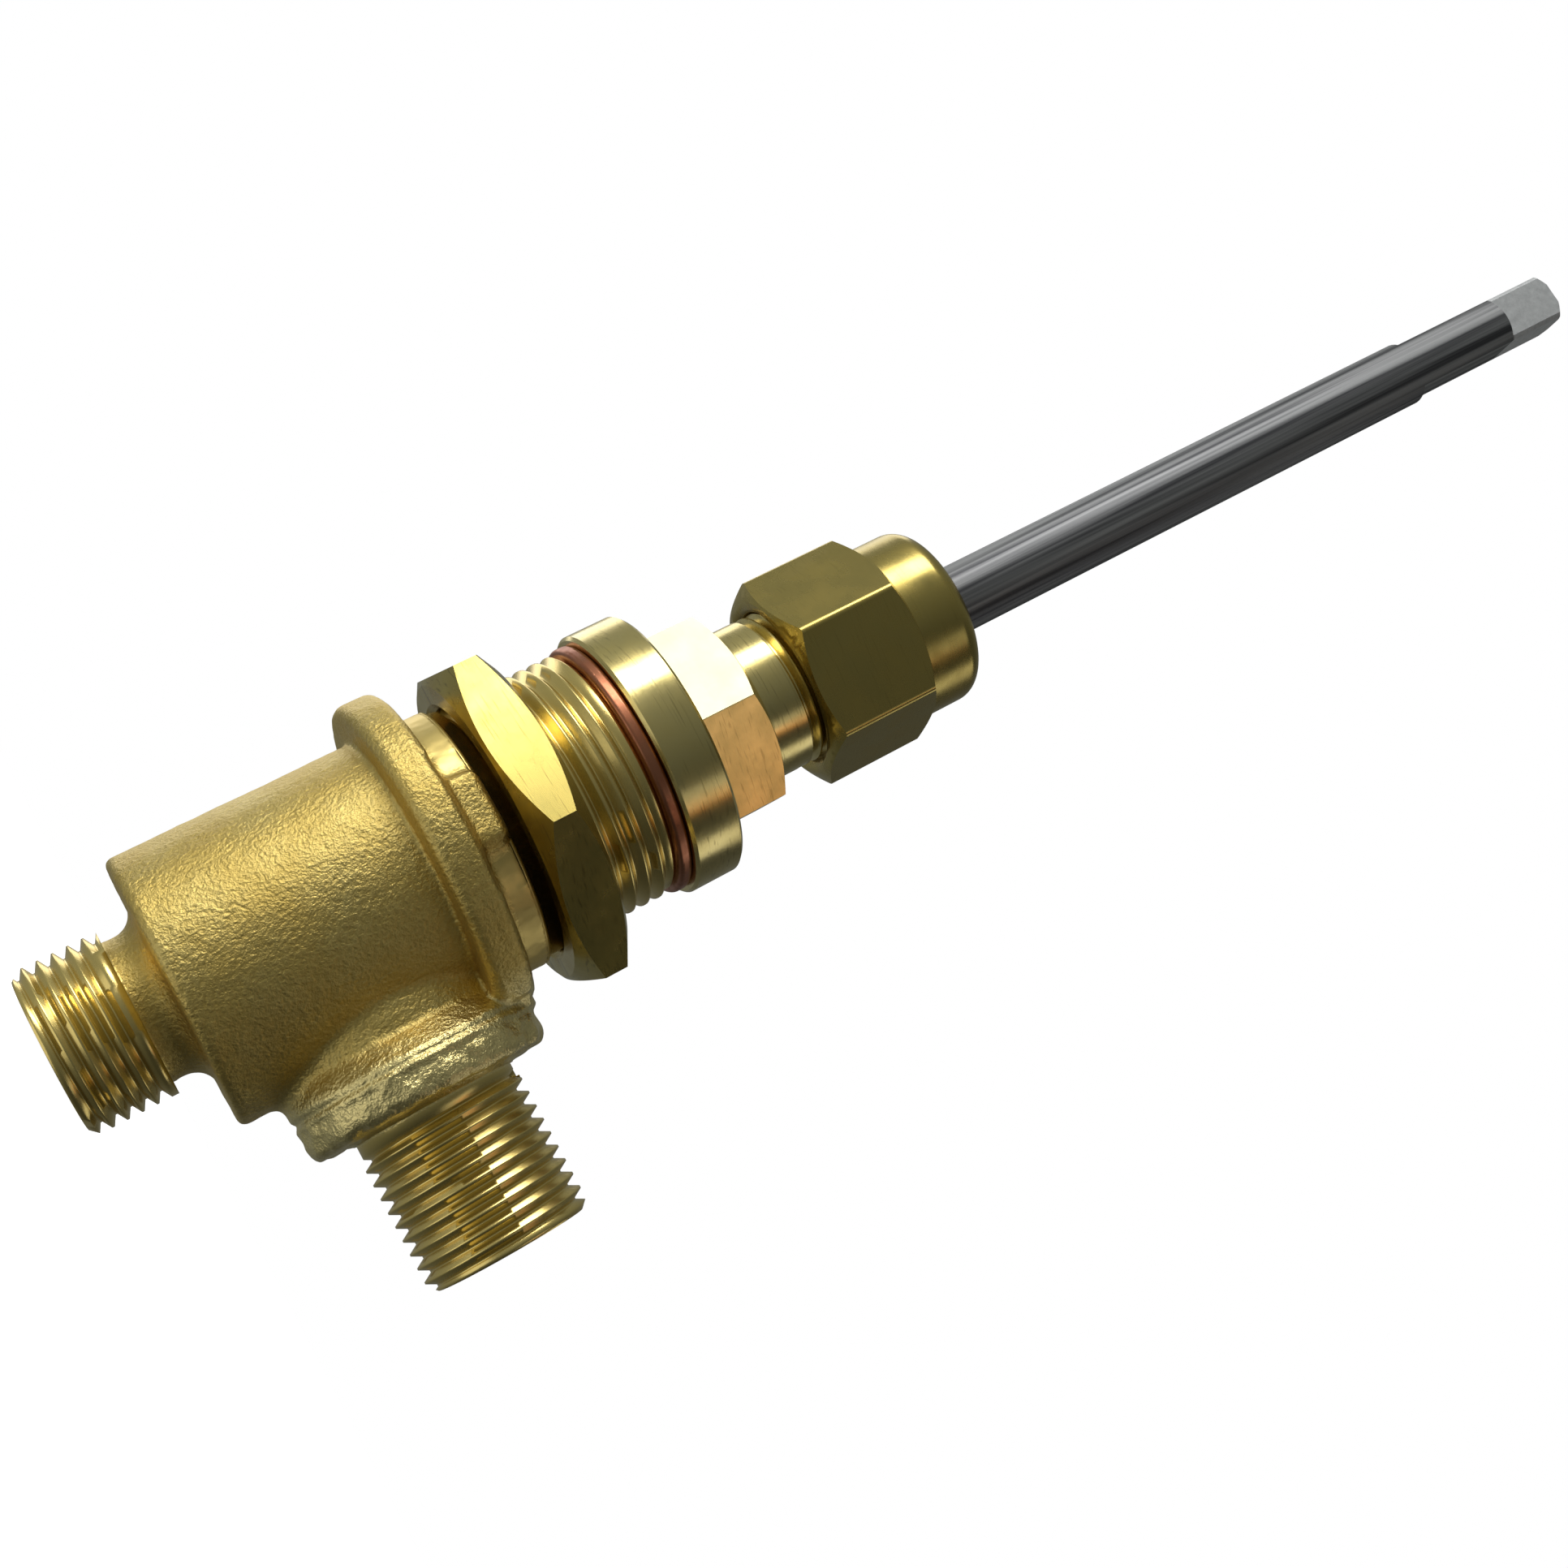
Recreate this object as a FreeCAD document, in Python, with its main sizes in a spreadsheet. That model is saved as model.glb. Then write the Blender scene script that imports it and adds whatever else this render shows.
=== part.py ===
import FreeCAD, Part
import math
import os
import Sketcher

# Pressure relief valve with a screwed spindle, for mounting through a panel.
# Frame: +Z runs along the spindle, +X runs out of the side outlet, and the origin is
# the centre of the inlet's end face. Millimetres and degrees.

DRIVING_SIZES = [
    # pipe threads of the inlet and of the outlet (G1/2, 14 threads to the inch, 55 degrees)
    ("pipe_thread_dia", 20.955),
    ("pipe_thread_pitch", 1.814),
    ("pipe_thread_depth", 1.162),
    # inlet stub
    ("inlet_thread_len", 10.5),
    ("inlet_neck_dia", 17.9),
    ("inlet_bore_dia", 12.5),
    ("barrel_start", 14.8),
    # cast barrel, shoulder flange, land and lug
    ("barrel_dia", 34.6),
    ("flange_start", 45.9),
    ("flange_thick", 5.2),
    ("flange_dia", 43.7),
    ("land_len", 4.1),
    ("land_dia", 34.2),
    ("lug_width", 9.0),
    ("lug_height", 1.5),
    ("lug_angle", 267.0),
    # panel thread (M33 x 2)
    ("panel_thread_len", 18.2),
    ("panel_thread_dia", 33.0),
    ("panel_thread_pitch", 2.0),
    ("panel_thread_depth", 1.2),
    # side outlet
    ("outlet_height", 35.2),
    ("outlet_boss_dia", 30.9),
    ("outlet_boss_reach", 25.4),
    ("outlet_oval_wide", 23.4),
    ("outlet_oval_end", 16.9),
    ("outlet_rim_start", 20.3),
    ("outlet_groove_wide", 0.7),
    ("outlet_groove_deep", 0.4),
    ("outlet_neck_dia", 20.2),
    ("outlet_neck_len", 2.0),
    ("outlet_reach", 44.9),
    ("outlet_bore_dia", 13.0),
    # chamber and seat
    ("chamber_start", 24.5),
    ("chamber_dia", 25.0),
    ("seat_start", 18.5),
    ("seat_dia", 16.0),
    ("seat_bore_dia", 11.0),
    ("seat_lip_height", 1.5),
    ("seat_lip_wall", 1.5),
    # closing piece
    ("disc_gap", 0.15),
    ("disc_margin", 0.4),
    ("disc_thick", 2.0),
    ("holder_cup_wall", 1.6),
    ("holder_head_thick", 4.0),
    ("holder_stem_dia", 9.0),
    ("guide_gap", 0.8),
    ("holder_guide_thick", 3.5),
    ("holder_boss_len", 1.5),
    ("vent_dia", 2.6),
    ("vent_edge", 0.7),
    ("disc_screw_dia", 4.0),
    ("disc_screw_len", 6.0),
    ("disc_screw_head_dia", 7.0),
    ("disc_screw_head_len", 1.6),
    ("disc_washer_dia", 8.6),
    ("disc_washer_thick", 0.6),
    # spring and its follower
    ("spring_wire_dia", 2.0),
    ("spring_play", 3.0),
    ("spring_turns", 4.5),
    ("spring_space", 11.0),
    ("follower_thick", 3.0),
    ("follower_boss_dia", 11.0),
    ("follower_boss_down", 1.5),
    ("follower_boss_up", 2.0),
    ("key_dia", 2.6),
    ("key_stand", 1.0),
    ("ball_dia", 5.0),
    # bonnet
    ("copper_thick", 1.9),
    ("copper_dia", 33.8),
    ("collar_thick", 6.7),
    ("collar_dia", 35.6),
    ("bonnet_hex_thick", 9.5),
    ("bonnet_hex_flats", 25.0),
    ("bonnet_hex_angle", 214.1),
    ("neck_dia", 20.5),
    ("bush_len", 10.6),
    ("neck_thread_shown", 2.3),
    ("neck_thread_pitch", 1.5),
    ("neck_thread_depth", 0.9),
    ("spigot_gap", 1.0),
    ("backseat_gap", 1.5),
    ("backseat_wall", 3.5),
    ("packing_wall", 2.83),
    # locknut
    ("locknut_gap", 1.7),
    ("locknut_thick", 7.3),
    ("locknut_flats", 41.0),
    ("locknut_angle", 222.15),
    # packing, its follower and the gland nut
    ("packing_ring_len", 3.3),
    ("packing_base_len", 1.5),
    ("gland_flange_inset", 1.05),
    ("gland_flange_thick", 2.0),
    ("gland_grip", 9.5),
    ("gland_hex_thick", 16.0),
    ("gland_hex_flats", 25.0),
    ("gland_hex_angle", 196.0),
    ("nose_dia", 24.0),
    ("nose_len", 8.2),
    ("nose_round", 2.6),
    # spindle
    ("rod_dia", 9.24),
    ("screw_dia", 12.0),
    ("screw_pitch", 1.75),
    ("screw_depth", 1.0),
    ("spindle_travel", 3.5),
    ("screw_len", 15.5),
    ("spindle_top", 233.9),
    ("long_flats_len", 27.8),
    ("long_flats", 7.1),
    ("short_flats_len", 10.3),
    ("short_flats", 7.0),
    ("flats_angle", -4.5),
    # clearances: running fits, threads shown as plain bores, loose holes
    ("running_gap", 0.05),
    ("thread_gap", 0.08),
    ("loose_gap", 0.25),
    # edge breaks
    ("cast_round", 1.0),
    ("neck_fillet", 2.8),
    ("flange_round", 1.3),
    ("cast_fillet", 1.6),
    ("edge_break", 0.4),
]

document = FreeCAD.newDocument("relief_valve")
sheet = document.addObject("Spreadsheet::Sheet", "Sizes")
for row, (size_name, size_value) in enumerate(DRIVING_SIZES, start=1):
    sheet.set("A%d" % row, size_name)
    sheet.set("B%d" % row, str(size_value))
    sheet.setAlias("B%d" % row, size_name)
document.recompute()


class Size:
    """A length or angle that keeps both its number and the sheet expression for it."""

    def __init__(self, value, text):
        self.value = value
        self.text = text

    def __add__(self, other):
        other = as_size(other)
        return Size(self.value + other.value, "(%s + %s)" % (self.text, other.text))

    def __sub__(self, other):
        other = as_size(other)
        return Size(self.value - other.value, "(%s - %s)" % (self.text, other.text))

    def __mul__(self, factor):
        return Size(self.value * factor, "(%s * %.9g)" % (self.text, factor))

    def __truediv__(self, divisor):
        return Size(self.value / divisor, "(%s / %.9g)" % (self.text, divisor))

    def __neg__(self):
        return Size(-self.value, "(-1 * %s)" % self.text)


def as_size(number):
    if isinstance(number, Size):
        return number
    return Size(float(number), "%.9g" % number)


class SheetSizes:
    """Gives each driving size by its name."""


size = SheetSizes()
for size_name, size_value in DRIVING_SIZES:
    setattr(size, size_name, Size(size_value, "Sizes.%s" % size_name))

ZERO = as_size(0.0)
OVERRUN = as_size(1.0)
HALF_HEX = math.pi / 6.0
CHAMFER_SLOPE = math.tan(math.radians(30.0))
# The face left flat between the chamfers, as a share of the width across flats.
HEX_FACE_SHARE = 0.97
# The thread cutter's outline, in pitches: how far it stands out past the crest, half the
# width of its tip, and half its width where it stands out.
CUTTER_STANDS_OUT = 0.25
CUTTER_TIP_SHARE = 0.07
CUTTER_BACK_SHARE = 0.575
# Where each thread's first groove lies, in pitches from the end it starts at.
INLET_GROOVE_BEFORE_END = 1.14
INLET_GROOVE_PAST_THREAD = 0.84
OUTLET_GROOVE_BEFORE_NECK = 0.2
PANEL_GROOVE_PAST_LAND = 0.6

# ---------------------------------------------------------------- helpers


def new_body(name):
    body = document.addObject("PartDesign::Body", name)
    body.Label = name
    return body


def origin_plane(body, role):
    return [item for item in body.Origin.OriginFeatures if item.Role == role][0]


def attached_sketch(body, role, lift_y=ZERO, lift_z=ZERO):
    """An empty sketch on one of the body's own origin planes, moved in that plane's frame."""
    sketch = body.newObject("Sketcher::SketchObject", body.Name + "_sketch")
    sketch.AttachmentSupport = (origin_plane(body, role), "")
    sketch.MapMode = "FlatFace"
    for axis, lift in (("y", lift_y), ("z", lift_z)):
        if lift is not ZERO:
            sketch.setExpression("AttachmentOffset.Base.%s" % axis, lift.text)
    return sketch


def draw_loop(sketch, corners):
    """A closed outline of straight edges. Each corner's two coordinates follow the sheet."""
    first = sketch.GeometryCount
    count = len(corners)
    for index in range(count):
        here = corners[index]
        after = corners[(index + 1) % count]
        start = FreeCAD.Vector(here[0].value, here[1].value, 0)
        end = FreeCAD.Vector(after[0].value, after[1].value, 0)
        sketch.addGeometry(Part.LineSegment(start, end))
    for index in range(count):
        line = first + index
        following = first + (index + 1) % count
        sketch.addConstraint(Sketcher.Constraint("Coincident", line, 2, following, 1))
        pin_point(sketch, line, 1, corners[index])


def pin_point(sketch, geometry, point, place):
    for kind, coordinate, axis in (("DistanceX", place[0], -2), ("DistanceY", place[1], -1)):
        if coordinate is ZERO:
            sketch.addConstraint(Sketcher.Constraint("PointOnObject", geometry, point, axis))
            continue
        rule = Sketcher.Constraint(kind, -1, 1, geometry, point, coordinate.value)
        number = sketch.addConstraint(rule)
        sketch.setExpression("Constraints[%d]" % number, coordinate.text)


def draw_circle(sketch, centre, diameter):
    middle = FreeCAD.Vector(centre[0].value, centre[1].value, 0)
    circle = Part.Circle(middle, FreeCAD.Vector(0, 0, 1), diameter.value / 2)
    number = sketch.addGeometry(circle)
    if centre[0] is ZERO and centre[1] is ZERO:
        sketch.addConstraint(Sketcher.Constraint("Coincident", number, 3, -1, 1))
    else:
        pin_point(sketch, number, 3, centre)
    rule = sketch.addConstraint(Sketcher.Constraint("Diameter", number, diameter.value))
    sketch.setExpression("Constraints[%d]" % rule, diameter.text)


def revolve(body, corners, axis="V_Axis", cut=False):
    """Turns an outline of (radius, height) corners about the body's Z axis."""
    sketch = attached_sketch(body, "XZ_Plane")
    draw_loop(sketch, corners)
    kind = "PartDesign::Groove" if cut else "PartDesign::Revolution"
    feature = body.newObject(kind, body.Name + "_turning")
    feature.Profile = sketch
    feature.ReferenceAxis = (sketch, [axis])
    feature.Angle = 360
    document.recompute()
    return feature


def ring_edges(shape, places):
    """Names of the circular edges about the Z axis at the given (radius, height) places."""
    names = []
    for index, edge in enumerate(shape.Edges, start=1):
        if not isinstance(edge.Curve, Part.Circle):
            continue
        centre = edge.Curve.Center
        if math.hypot(centre.x, centre.y) > 0.001:
            continue
        for radius, height in places:
            near_radius = abs(edge.Curve.Radius - radius.value) < 0.01
            if near_radius and abs(centre.z - height.value) < 0.01:
                names.append("Edge%d" % index)
    return names


def dress(body, kind, edges, amount):
    """Rounds (Fillet) or bevels (Chamfer) the named edges of the body's tip."""
    base = body.Tip
    feature = body.newObject("PartDesign::" + kind, body.Name + "_" + kind.lower())
    feature.Base = (base, edges)
    feature.setExpression("Radius" if kind == "Fillet" else "Size", amount.text)
    document.recompute()
    return feature


def break_rings(body, kind, places, amount):
    edges = ring_edges(body.Shape, places)
    return dress(body, kind, edges, amount)


def cut_thread(body, crest_dia, depth, pitch, start, length, axis="V_Axis", height=ZERO):
    """Cuts a helical V groove. The outline stands on the crest and points at the axis."""
    sketch = attached_sketch(body, "XZ_Plane", lift_y=height)
    crest = crest_dia / 2
    outer = crest + pitch * CUTTER_STANDS_OUT
    root_half = pitch * CUTTER_TIP_SHARE
    outer_half = pitch * CUTTER_BACK_SHARE
    across = [outer, outer, crest - depth, crest - depth]
    along = [start - outer_half, start + outer_half, start + root_half, start - root_half]
    corners = list(zip(across, along))
    if axis == "H_Axis":
        corners = [(second, first) for first, second in corners]
    draw_loop(sketch, corners)
    feature = body.newObject("PartDesign::SubtractiveHelix", body.Name + "_thread")
    feature.Profile = sketch
    feature.ReferenceAxis = (sketch, [axis])
    feature.Mode = 0
    feature.Angle = 0
    feature.LeftHanded = False
    feature.setExpression("Pitch", pitch.text)
    feature.setExpression("Height", length.text)
    before = body.Shape.Volume
    document.recompute()
    if feature.Shape.Volume >= before:
        feature.Reversed = True
        document.recompute()
    return feature


def hex_corners(flats):
    """Corners of a hexagon with its first corner on the X axis."""
    reach = flats / (2.0 * math.cos(HALF_HEX))
    corners = []
    for index in range(6):
        angle = index * math.pi / 3.0
        along_x = reach * math.cos(angle)
        along_y = ZERO if index % 3 == 0 else reach * math.sin(angle)
        corners.append((along_x, along_y))
    return corners


def pad_sketch(body, sketch, length, cut=False, reverse=False):
    kind = "PartDesign::Pocket" if cut else "PartDesign::Pad"
    feature = body.newObject(kind, body.Name + "_prism")
    feature.Profile = sketch
    feature.Reversed = reverse
    feature.setExpression("Length", length.text)
    document.recompute()
    return feature


def hex_prism(body, flats, start, length, angle):
    sketch = attached_sketch(body, "XY_Plane", lift_z=start)
    sketch.setExpression("AttachmentOffset.Rotation.Angle", angle.text)
    draw_loop(sketch, hex_corners(flats))
    return pad_sketch(body, sketch, length)


def trim_hex(body, flats, start, end, bottom=True, top=True):
    """Turns a hexagon's ends down to the 30 degree cone that starts at its flats."""
    reach = flats / (2.0 * math.cos(HALF_HEX))
    inner = flats / 2 * HEX_FACE_SHARE
    outer = reach + OVERRUN
    drop = (outer - inner) * CHAMFER_SLOPE
    if bottom:
        revolve(body, [(inner, start), (outer, start), (outer, start + drop)], cut=True)
    if top:
        revolve(body, [(inner, end), (outer, end - drop), (outer, end)], cut=True)


def side_hole(body, diameter, reach_from, reach_to, height):
    """A round hole along X between two distances from the Z axis."""
    sketch = attached_sketch(body, "YZ_Plane", lift_z=reach_from)
    draw_circle(sketch, (ZERO, height), diameter)
    return pad_sketch(body, sketch, reach_to - reach_from, cut=True, reverse=True)


# ------------------------------------------------- heights and widths that follow from others

barrel_end = size.flange_start
flange_end = size.flange_start + size.flange_thick
land_end = flange_end + size.land_len
body_top = land_end + size.panel_thread_len
locknut_start = land_end + size.locknut_gap
locknut_end = locknut_start + size.locknut_thick
collar_start = body_top + size.copper_thick
collar_end = collar_start + size.collar_thick
bonnet_hex_end = collar_end + size.bonnet_hex_thick

chamber_wall = size.chamber_dia / 2
chamber_fit = chamber_wall - size.running_gap
seat_top = size.chamber_start + size.seat_lip_height
disc_radius = size.seat_bore_dia / 2 + size.seat_lip_wall + size.disc_margin
disc_start = seat_top + size.disc_gap
disc_top = disc_start + size.disc_thick
disc_washer_start = disc_start + size.disc_thick / 4
holder_head_top = disc_top + size.holder_head_thick
holder_guide_start = size.outlet_height + size.outlet_bore_dia / 2 + size.guide_gap
holder_guide_top = holder_guide_start + size.holder_guide_thick
stem_radius = size.holder_stem_dia / 2
spring_radius = chamber_wall - size.spring_play - size.spring_wire_dia / 2

follower_start = holder_guide_top + size.spring_space
follower_top = follower_start + size.follower_thick
follower_boss_top = follower_top + size.follower_boss_up
key_height = follower_start + size.follower_thick / 2
key_reach = chamber_wall + size.key_stand
screw_start = follower_boss_top + size.loose_gap * 2
ball_centre = screw_start - size.loose_gap
screw_top = screw_start + size.screw_len
spigot_bottom = follower_boss_top + size.spindle_travel + size.spigot_gap
backseat_height = screw_top + size.spindle_travel + size.backseat_gap

packing_floor = backseat_height + size.backseat_wall
packing_bore = size.rod_dia / 2 + size.packing_wall
packing_start = packing_floor + size.packing_base_len
packing_end = packing_start + size.packing_ring_len * 3
gland_flange_start = packing_end + size.bush_len
gland_flange_end = gland_flange_start + size.gland_flange_thick
neck_top = gland_flange_start - size.loose_gap * 2
gland_nut_start = neck_top - size.gland_grip
gland_hex_end = gland_nut_start + size.gland_hex_thick
nose_top = gland_hex_end + size.nose_len
neck_thread_start = gland_nut_start - size.neck_thread_shown


# ---------------------------------------------------------------- valve body


def make_valve_body():
    body = new_body("valve_body")
    barrel = size.barrel_dia / 2
    land = size.land_dia / 2
    revolve(body, [
        (ZERO, ZERO),
        (size.pipe_thread_dia / 2, ZERO),
        (size.pipe_thread_dia / 2, size.inlet_thread_len),
        (size.inlet_neck_dia / 2, size.inlet_thread_len),
        (size.inlet_neck_dia / 2, size.barrel_start),
        (barrel, size.barrel_start),
        (barrel, barrel_end),
        (size.flange_dia / 2, barrel_end),
        (size.flange_dia / 2, flange_end),
        (land, flange_end),
        (land, land_end),
        (size.panel_thread_dia / 2, land_end),
        (size.panel_thread_dia / 2, body_top),
        (ZERO, body_top),
    ])
    break_rings(body, "Fillet", [(size.inlet_neck_dia / 2, size.barrel_start)], size.neck_fillet)
    break_rings(body, "Fillet", [(barrel, size.barrel_start)], size.cast_round)
    add_outlet_boss(body)
    add_lug(body, land)
    flange_rims = [(size.flange_dia / 2, barrel_end), (size.flange_dia / 2, flange_end)]
    break_rings(body, "Fillet", flange_rims, size.flange_round)
    thread_ends = [(size.pipe_thread_dia / 2, ZERO), (size.panel_thread_dia / 2, body_top)]
    break_rings(body, "Chamfer", thread_ends, size.edge_break * 2.5)
    bore_body(body)
    cut_body_threads(body)
    return body


def add_outlet_boss(body):
    """The oval branch, its flare, the round rim and the threaded stub that stand out along X."""
    oval = oval_sketch(body, ZERO)
    pad_sketch(body, oval, size.outlet_oval_end)
    boss = size.outlet_boss_dia / 2
    add_flare(body)
    sketch = attached_sketch(body, "XZ_Plane", lift_y=size.outlet_height)
    neck = size.outlet_neck_dia / 2
    stub = size.pipe_thread_dia / 2
    neck_end = size.outlet_boss_reach + size.outlet_neck_len
    end_bevel = size.edge_break * 2.5
    groove_end = size.outlet_rim_start + size.outlet_groove_wide
    groove_middle = size.outlet_rim_start + size.outlet_groove_wide / 2
    draw_loop(sketch, [
        (size.outlet_rim_start, ZERO),
        (size.outlet_reach, ZERO),
        (size.outlet_reach, stub - end_bevel),
        (size.outlet_reach - end_bevel, stub),
        (neck_end, stub),
        (neck_end, neck),
        (size.outlet_boss_reach, neck),
        (size.outlet_boss_reach, boss),
        (groove_end, boss),
        (groove_middle, boss - size.outlet_groove_deep),
        (size.outlet_rim_start, boss),
    ])
    feature = body.newObject("PartDesign::Revolution", "outlet_turning")
    feature.Profile = sketch
    feature.ReferenceAxis = (sketch, ["H_Axis"])
    feature.Angle = 360
    document.recompute()
    rim = rim_edges_on_boss(body.Shape, boss)
    dress(body, "Fillet", rim, size.cast_round * 1.5)
    root = saddle_edges(body.Shape)
    dress(body, "Fillet", root, size.cast_fillet)


def oval_sketch(body, away):
    """The branch's section: as tall as the round rim, and narrower across the barrel."""
    sketch = attached_sketch(body, "YZ_Plane", lift_y=size.outlet_height, lift_z=away)
    tall = size.outlet_boss_dia
    wide = size.outlet_oval_wide
    top = FreeCAD.Vector(0, tall.value / 2, 0)
    side = FreeCAD.Vector(-wide.value / 2, 0, 0)
    oval = sketch.addGeometry(Part.Ellipse(top, side, FreeCAD.Vector(0, 0, 0)))
    sketch.exposeInternalGeometry(oval)
    tall_axis = oval + 1
    wide_axis = oval + 2
    sketch.addConstraint(Sketcher.Constraint("Coincident", oval, 3, -1, 1))
    sketch.addConstraint(Sketcher.Constraint("Vertical", tall_axis))
    for axis, across in ((tall_axis, tall), (wide_axis, wide)):
        rule = sketch.addConstraint(Sketcher.Constraint("Distance", axis, across.value))
        sketch.setExpression("Constraints[%d]" % rule, across.text)
    return sketch


def add_flare(body):
    """Opens the oval branch out to the round rim."""
    oval = oval_sketch(body, size.outlet_oval_end)
    rim = attached_sketch(body, "YZ_Plane", lift_y=size.outlet_height, lift_z=size.outlet_rim_start)
    draw_circle(rim, (ZERO, ZERO), size.outlet_boss_dia)
    flare = body.newObject("PartDesign::AdditiveLoft", "outlet_flare")
    flare.Profile = oval
    flare.Sections = [rim]
    flare.Ruled = True
    document.recompute()


def rim_edges_on_boss(shape, radius):
    names = []
    for index, edge in enumerate(shape.Edges, start=1):
        if not isinstance(edge.Curve, Part.Circle):
            continue
        centre = edge.Curve.Center
        on_face = abs(centre.x - size.outlet_boss_reach.value) < 0.01
        if on_face and abs(edge.Curve.Radius - radius.value) < 0.01:
            names.append("Edge%d" % index)
    return names


def saddle_edges(shape):
    """Edges where the oval branch runs into the barrel."""
    names = []
    half_tall = size.outlet_boss_dia.value / 2
    half_wide = size.outlet_oval_wide.value / 2
    for index, edge in enumerate(shape.Edges, start=1):
        inside = True
        for fraction in (0.2, 0.5, 0.8):
            span = edge.LastParameter - edge.FirstParameter
            point = edge.valueAt(edge.FirstParameter + fraction * span)
            up = (point.z - size.outlet_height.value) / half_tall
            across = point.y / half_wide
            to_barrel_axis = math.hypot(point.x, point.y)
            on_branch = abs(math.hypot(up, across) - 1) < 0.002
            on_barrel = abs(to_barrel_axis - size.barrel_dia.value / 2) < 0.02
            inside = inside and on_branch and on_barrel
        if inside:
            names.append("Edge%d" % index)
    return names


def add_lug(body, land):
    """The small lug that keeps the valve from turning in its panel."""
    sketch = attached_sketch(body, "XY_Plane", lift_z=flange_end - OVERRUN)
    sketch.setExpression("AttachmentOffset.Rotation.Angle", size.lug_angle.text)
    half = size.lug_width / 2
    inner = chamber_wall + OVERRUN
    outer = land + size.lug_height
    draw_loop(sketch, [(inner, -half), (outer, -half), (outer, half), (inner, half)])
    pad_sketch(body, sketch, land_end - flange_end + OVERRUN)


def bore_body(body):
    """The inlet bore, the seat's pocket, the chamber, the outlet bore and the key's slot."""
    revolve(body, [
        (ZERO, -OVERRUN),
        (size.inlet_bore_dia / 2, -OVERRUN),
        (size.inlet_bore_dia / 2, size.seat_start),
        (size.seat_dia / 2, size.seat_start),
        (size.seat_dia / 2, size.chamber_start),
        (chamber_wall, size.chamber_start),
        (chamber_wall, body_top + OVERRUN),
        (ZERO, body_top + OVERRUN),
    ], cut=True)
    side_hole(body, size.outlet_bore_dia, OVERRUN, size.outlet_reach + OVERRUN, size.outlet_height)
    cut_key_slot(body)


def cut_key_slot(body):
    """A straight slot on the side away from the outlet, which keeps the follower from turning."""
    slot_half = size.key_dia / 2 + size.loose_gap
    reach = key_reach + size.loose_gap
    bottom = key_height - size.spindle_travel - slot_half - size.loose_gap
    sketch = attached_sketch(body, "XY_Plane", lift_z=bottom)
    draw_loop(sketch, [(-reach, -slot_half), (ZERO, -slot_half), (ZERO, slot_half), (-reach, slot_half)])
    pad_sketch(body, sketch, body_top + OVERRUN - bottom, cut=True, reverse=True)


def cut_body_threads(body):
    pipe = (size.pipe_thread_dia, size.pipe_thread_depth, size.pipe_thread_pitch)
    inlet_start = -size.pipe_thread_pitch * INLET_GROOVE_BEFORE_END
    past_thread = size.pipe_thread_pitch * INLET_GROOVE_PAST_THREAD
    cut_thread(body, *pipe, start=inlet_start, length=size.inlet_thread_len + past_thread)
    neck_end = size.outlet_boss_reach + size.outlet_neck_len
    outlet_start = neck_end - size.pipe_thread_pitch * OUTLET_GROOVE_BEFORE_NECK
    outlet_length = size.outlet_reach - neck_end + size.pipe_thread_pitch
    cut_thread(body, *pipe, start=outlet_start, length=outlet_length, axis="H_Axis",
               height=size.outlet_height)
    panel = (size.panel_thread_dia, size.panel_thread_depth, size.panel_thread_pitch)
    panel_start = land_end + size.panel_thread_pitch * PANEL_GROOVE_PAST_LAND
    cut_thread(body, *panel, start=panel_start, length=size.panel_thread_len)


# ---------------------------------------------------------------- small turned pieces


def make_ring(name, inner, outer, start, end):
    body = new_body(name)
    revolve(body, [(inner, start), (outer, start), (outer, end), (inner, end)])
    return body


def make_seat_ring():
    body = new_body("seat_ring")
    bore = size.seat_bore_dia / 2
    lip = bore + size.seat_lip_wall
    revolve(body, [
        (bore, size.seat_start),
        (size.seat_dia / 2, size.seat_start),
        (size.seat_dia / 2, size.chamber_start),
        (lip, size.chamber_start),
        (lip - size.edge_break, seat_top),
        (bore, seat_top),
    ])
    return body


def make_disc_set():
    """Seal disc, washer and screw that sit in the holder's cup."""
    hole = size.disc_screw_dia / 2
    washer_bottom = disc_washer_start
    seal = new_body("seal_disc")
    washer_pocket = size.disc_washer_dia / 2 + size.loose_gap
    revolve(seal, [
        (washer_pocket, disc_start),
        (disc_radius, disc_start),
        (disc_radius, disc_top),
        (hole, disc_top),
        (hole, washer_bottom + size.disc_washer_thick),
        (washer_pocket, washer_bottom + size.disc_washer_thick),
    ])
    washer_top = washer_bottom + size.disc_washer_thick
    make_ring("disc_washer", hole, size.disc_washer_dia / 2, washer_bottom, washer_top)
    screw = new_body("disc_screw")
    head_bottom = washer_bottom - size.disc_screw_head_len
    revolve(screw, [
        (ZERO, head_bottom),
        (size.disc_screw_head_dia / 2, head_bottom),
        (size.disc_screw_head_dia / 2, washer_bottom),
        (hole, washer_bottom),
        (hole, washer_bottom + size.disc_screw_len),
        (ZERO, washer_bottom + size.disc_screw_len),
    ])
    slot = attached_sketch(screw, "XY_Plane", lift_z=head_bottom)
    slot_half = size.disc_screw_dia / 10
    reach = size.disc_screw_head_dia
    draw_loop(slot, [(-reach, -slot_half), (reach, -slot_half), (reach, slot_half), (-reach, slot_half)])
    pad_sketch(screw, slot, size.disc_screw_head_len / 2, cut=True, reverse=True)


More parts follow.
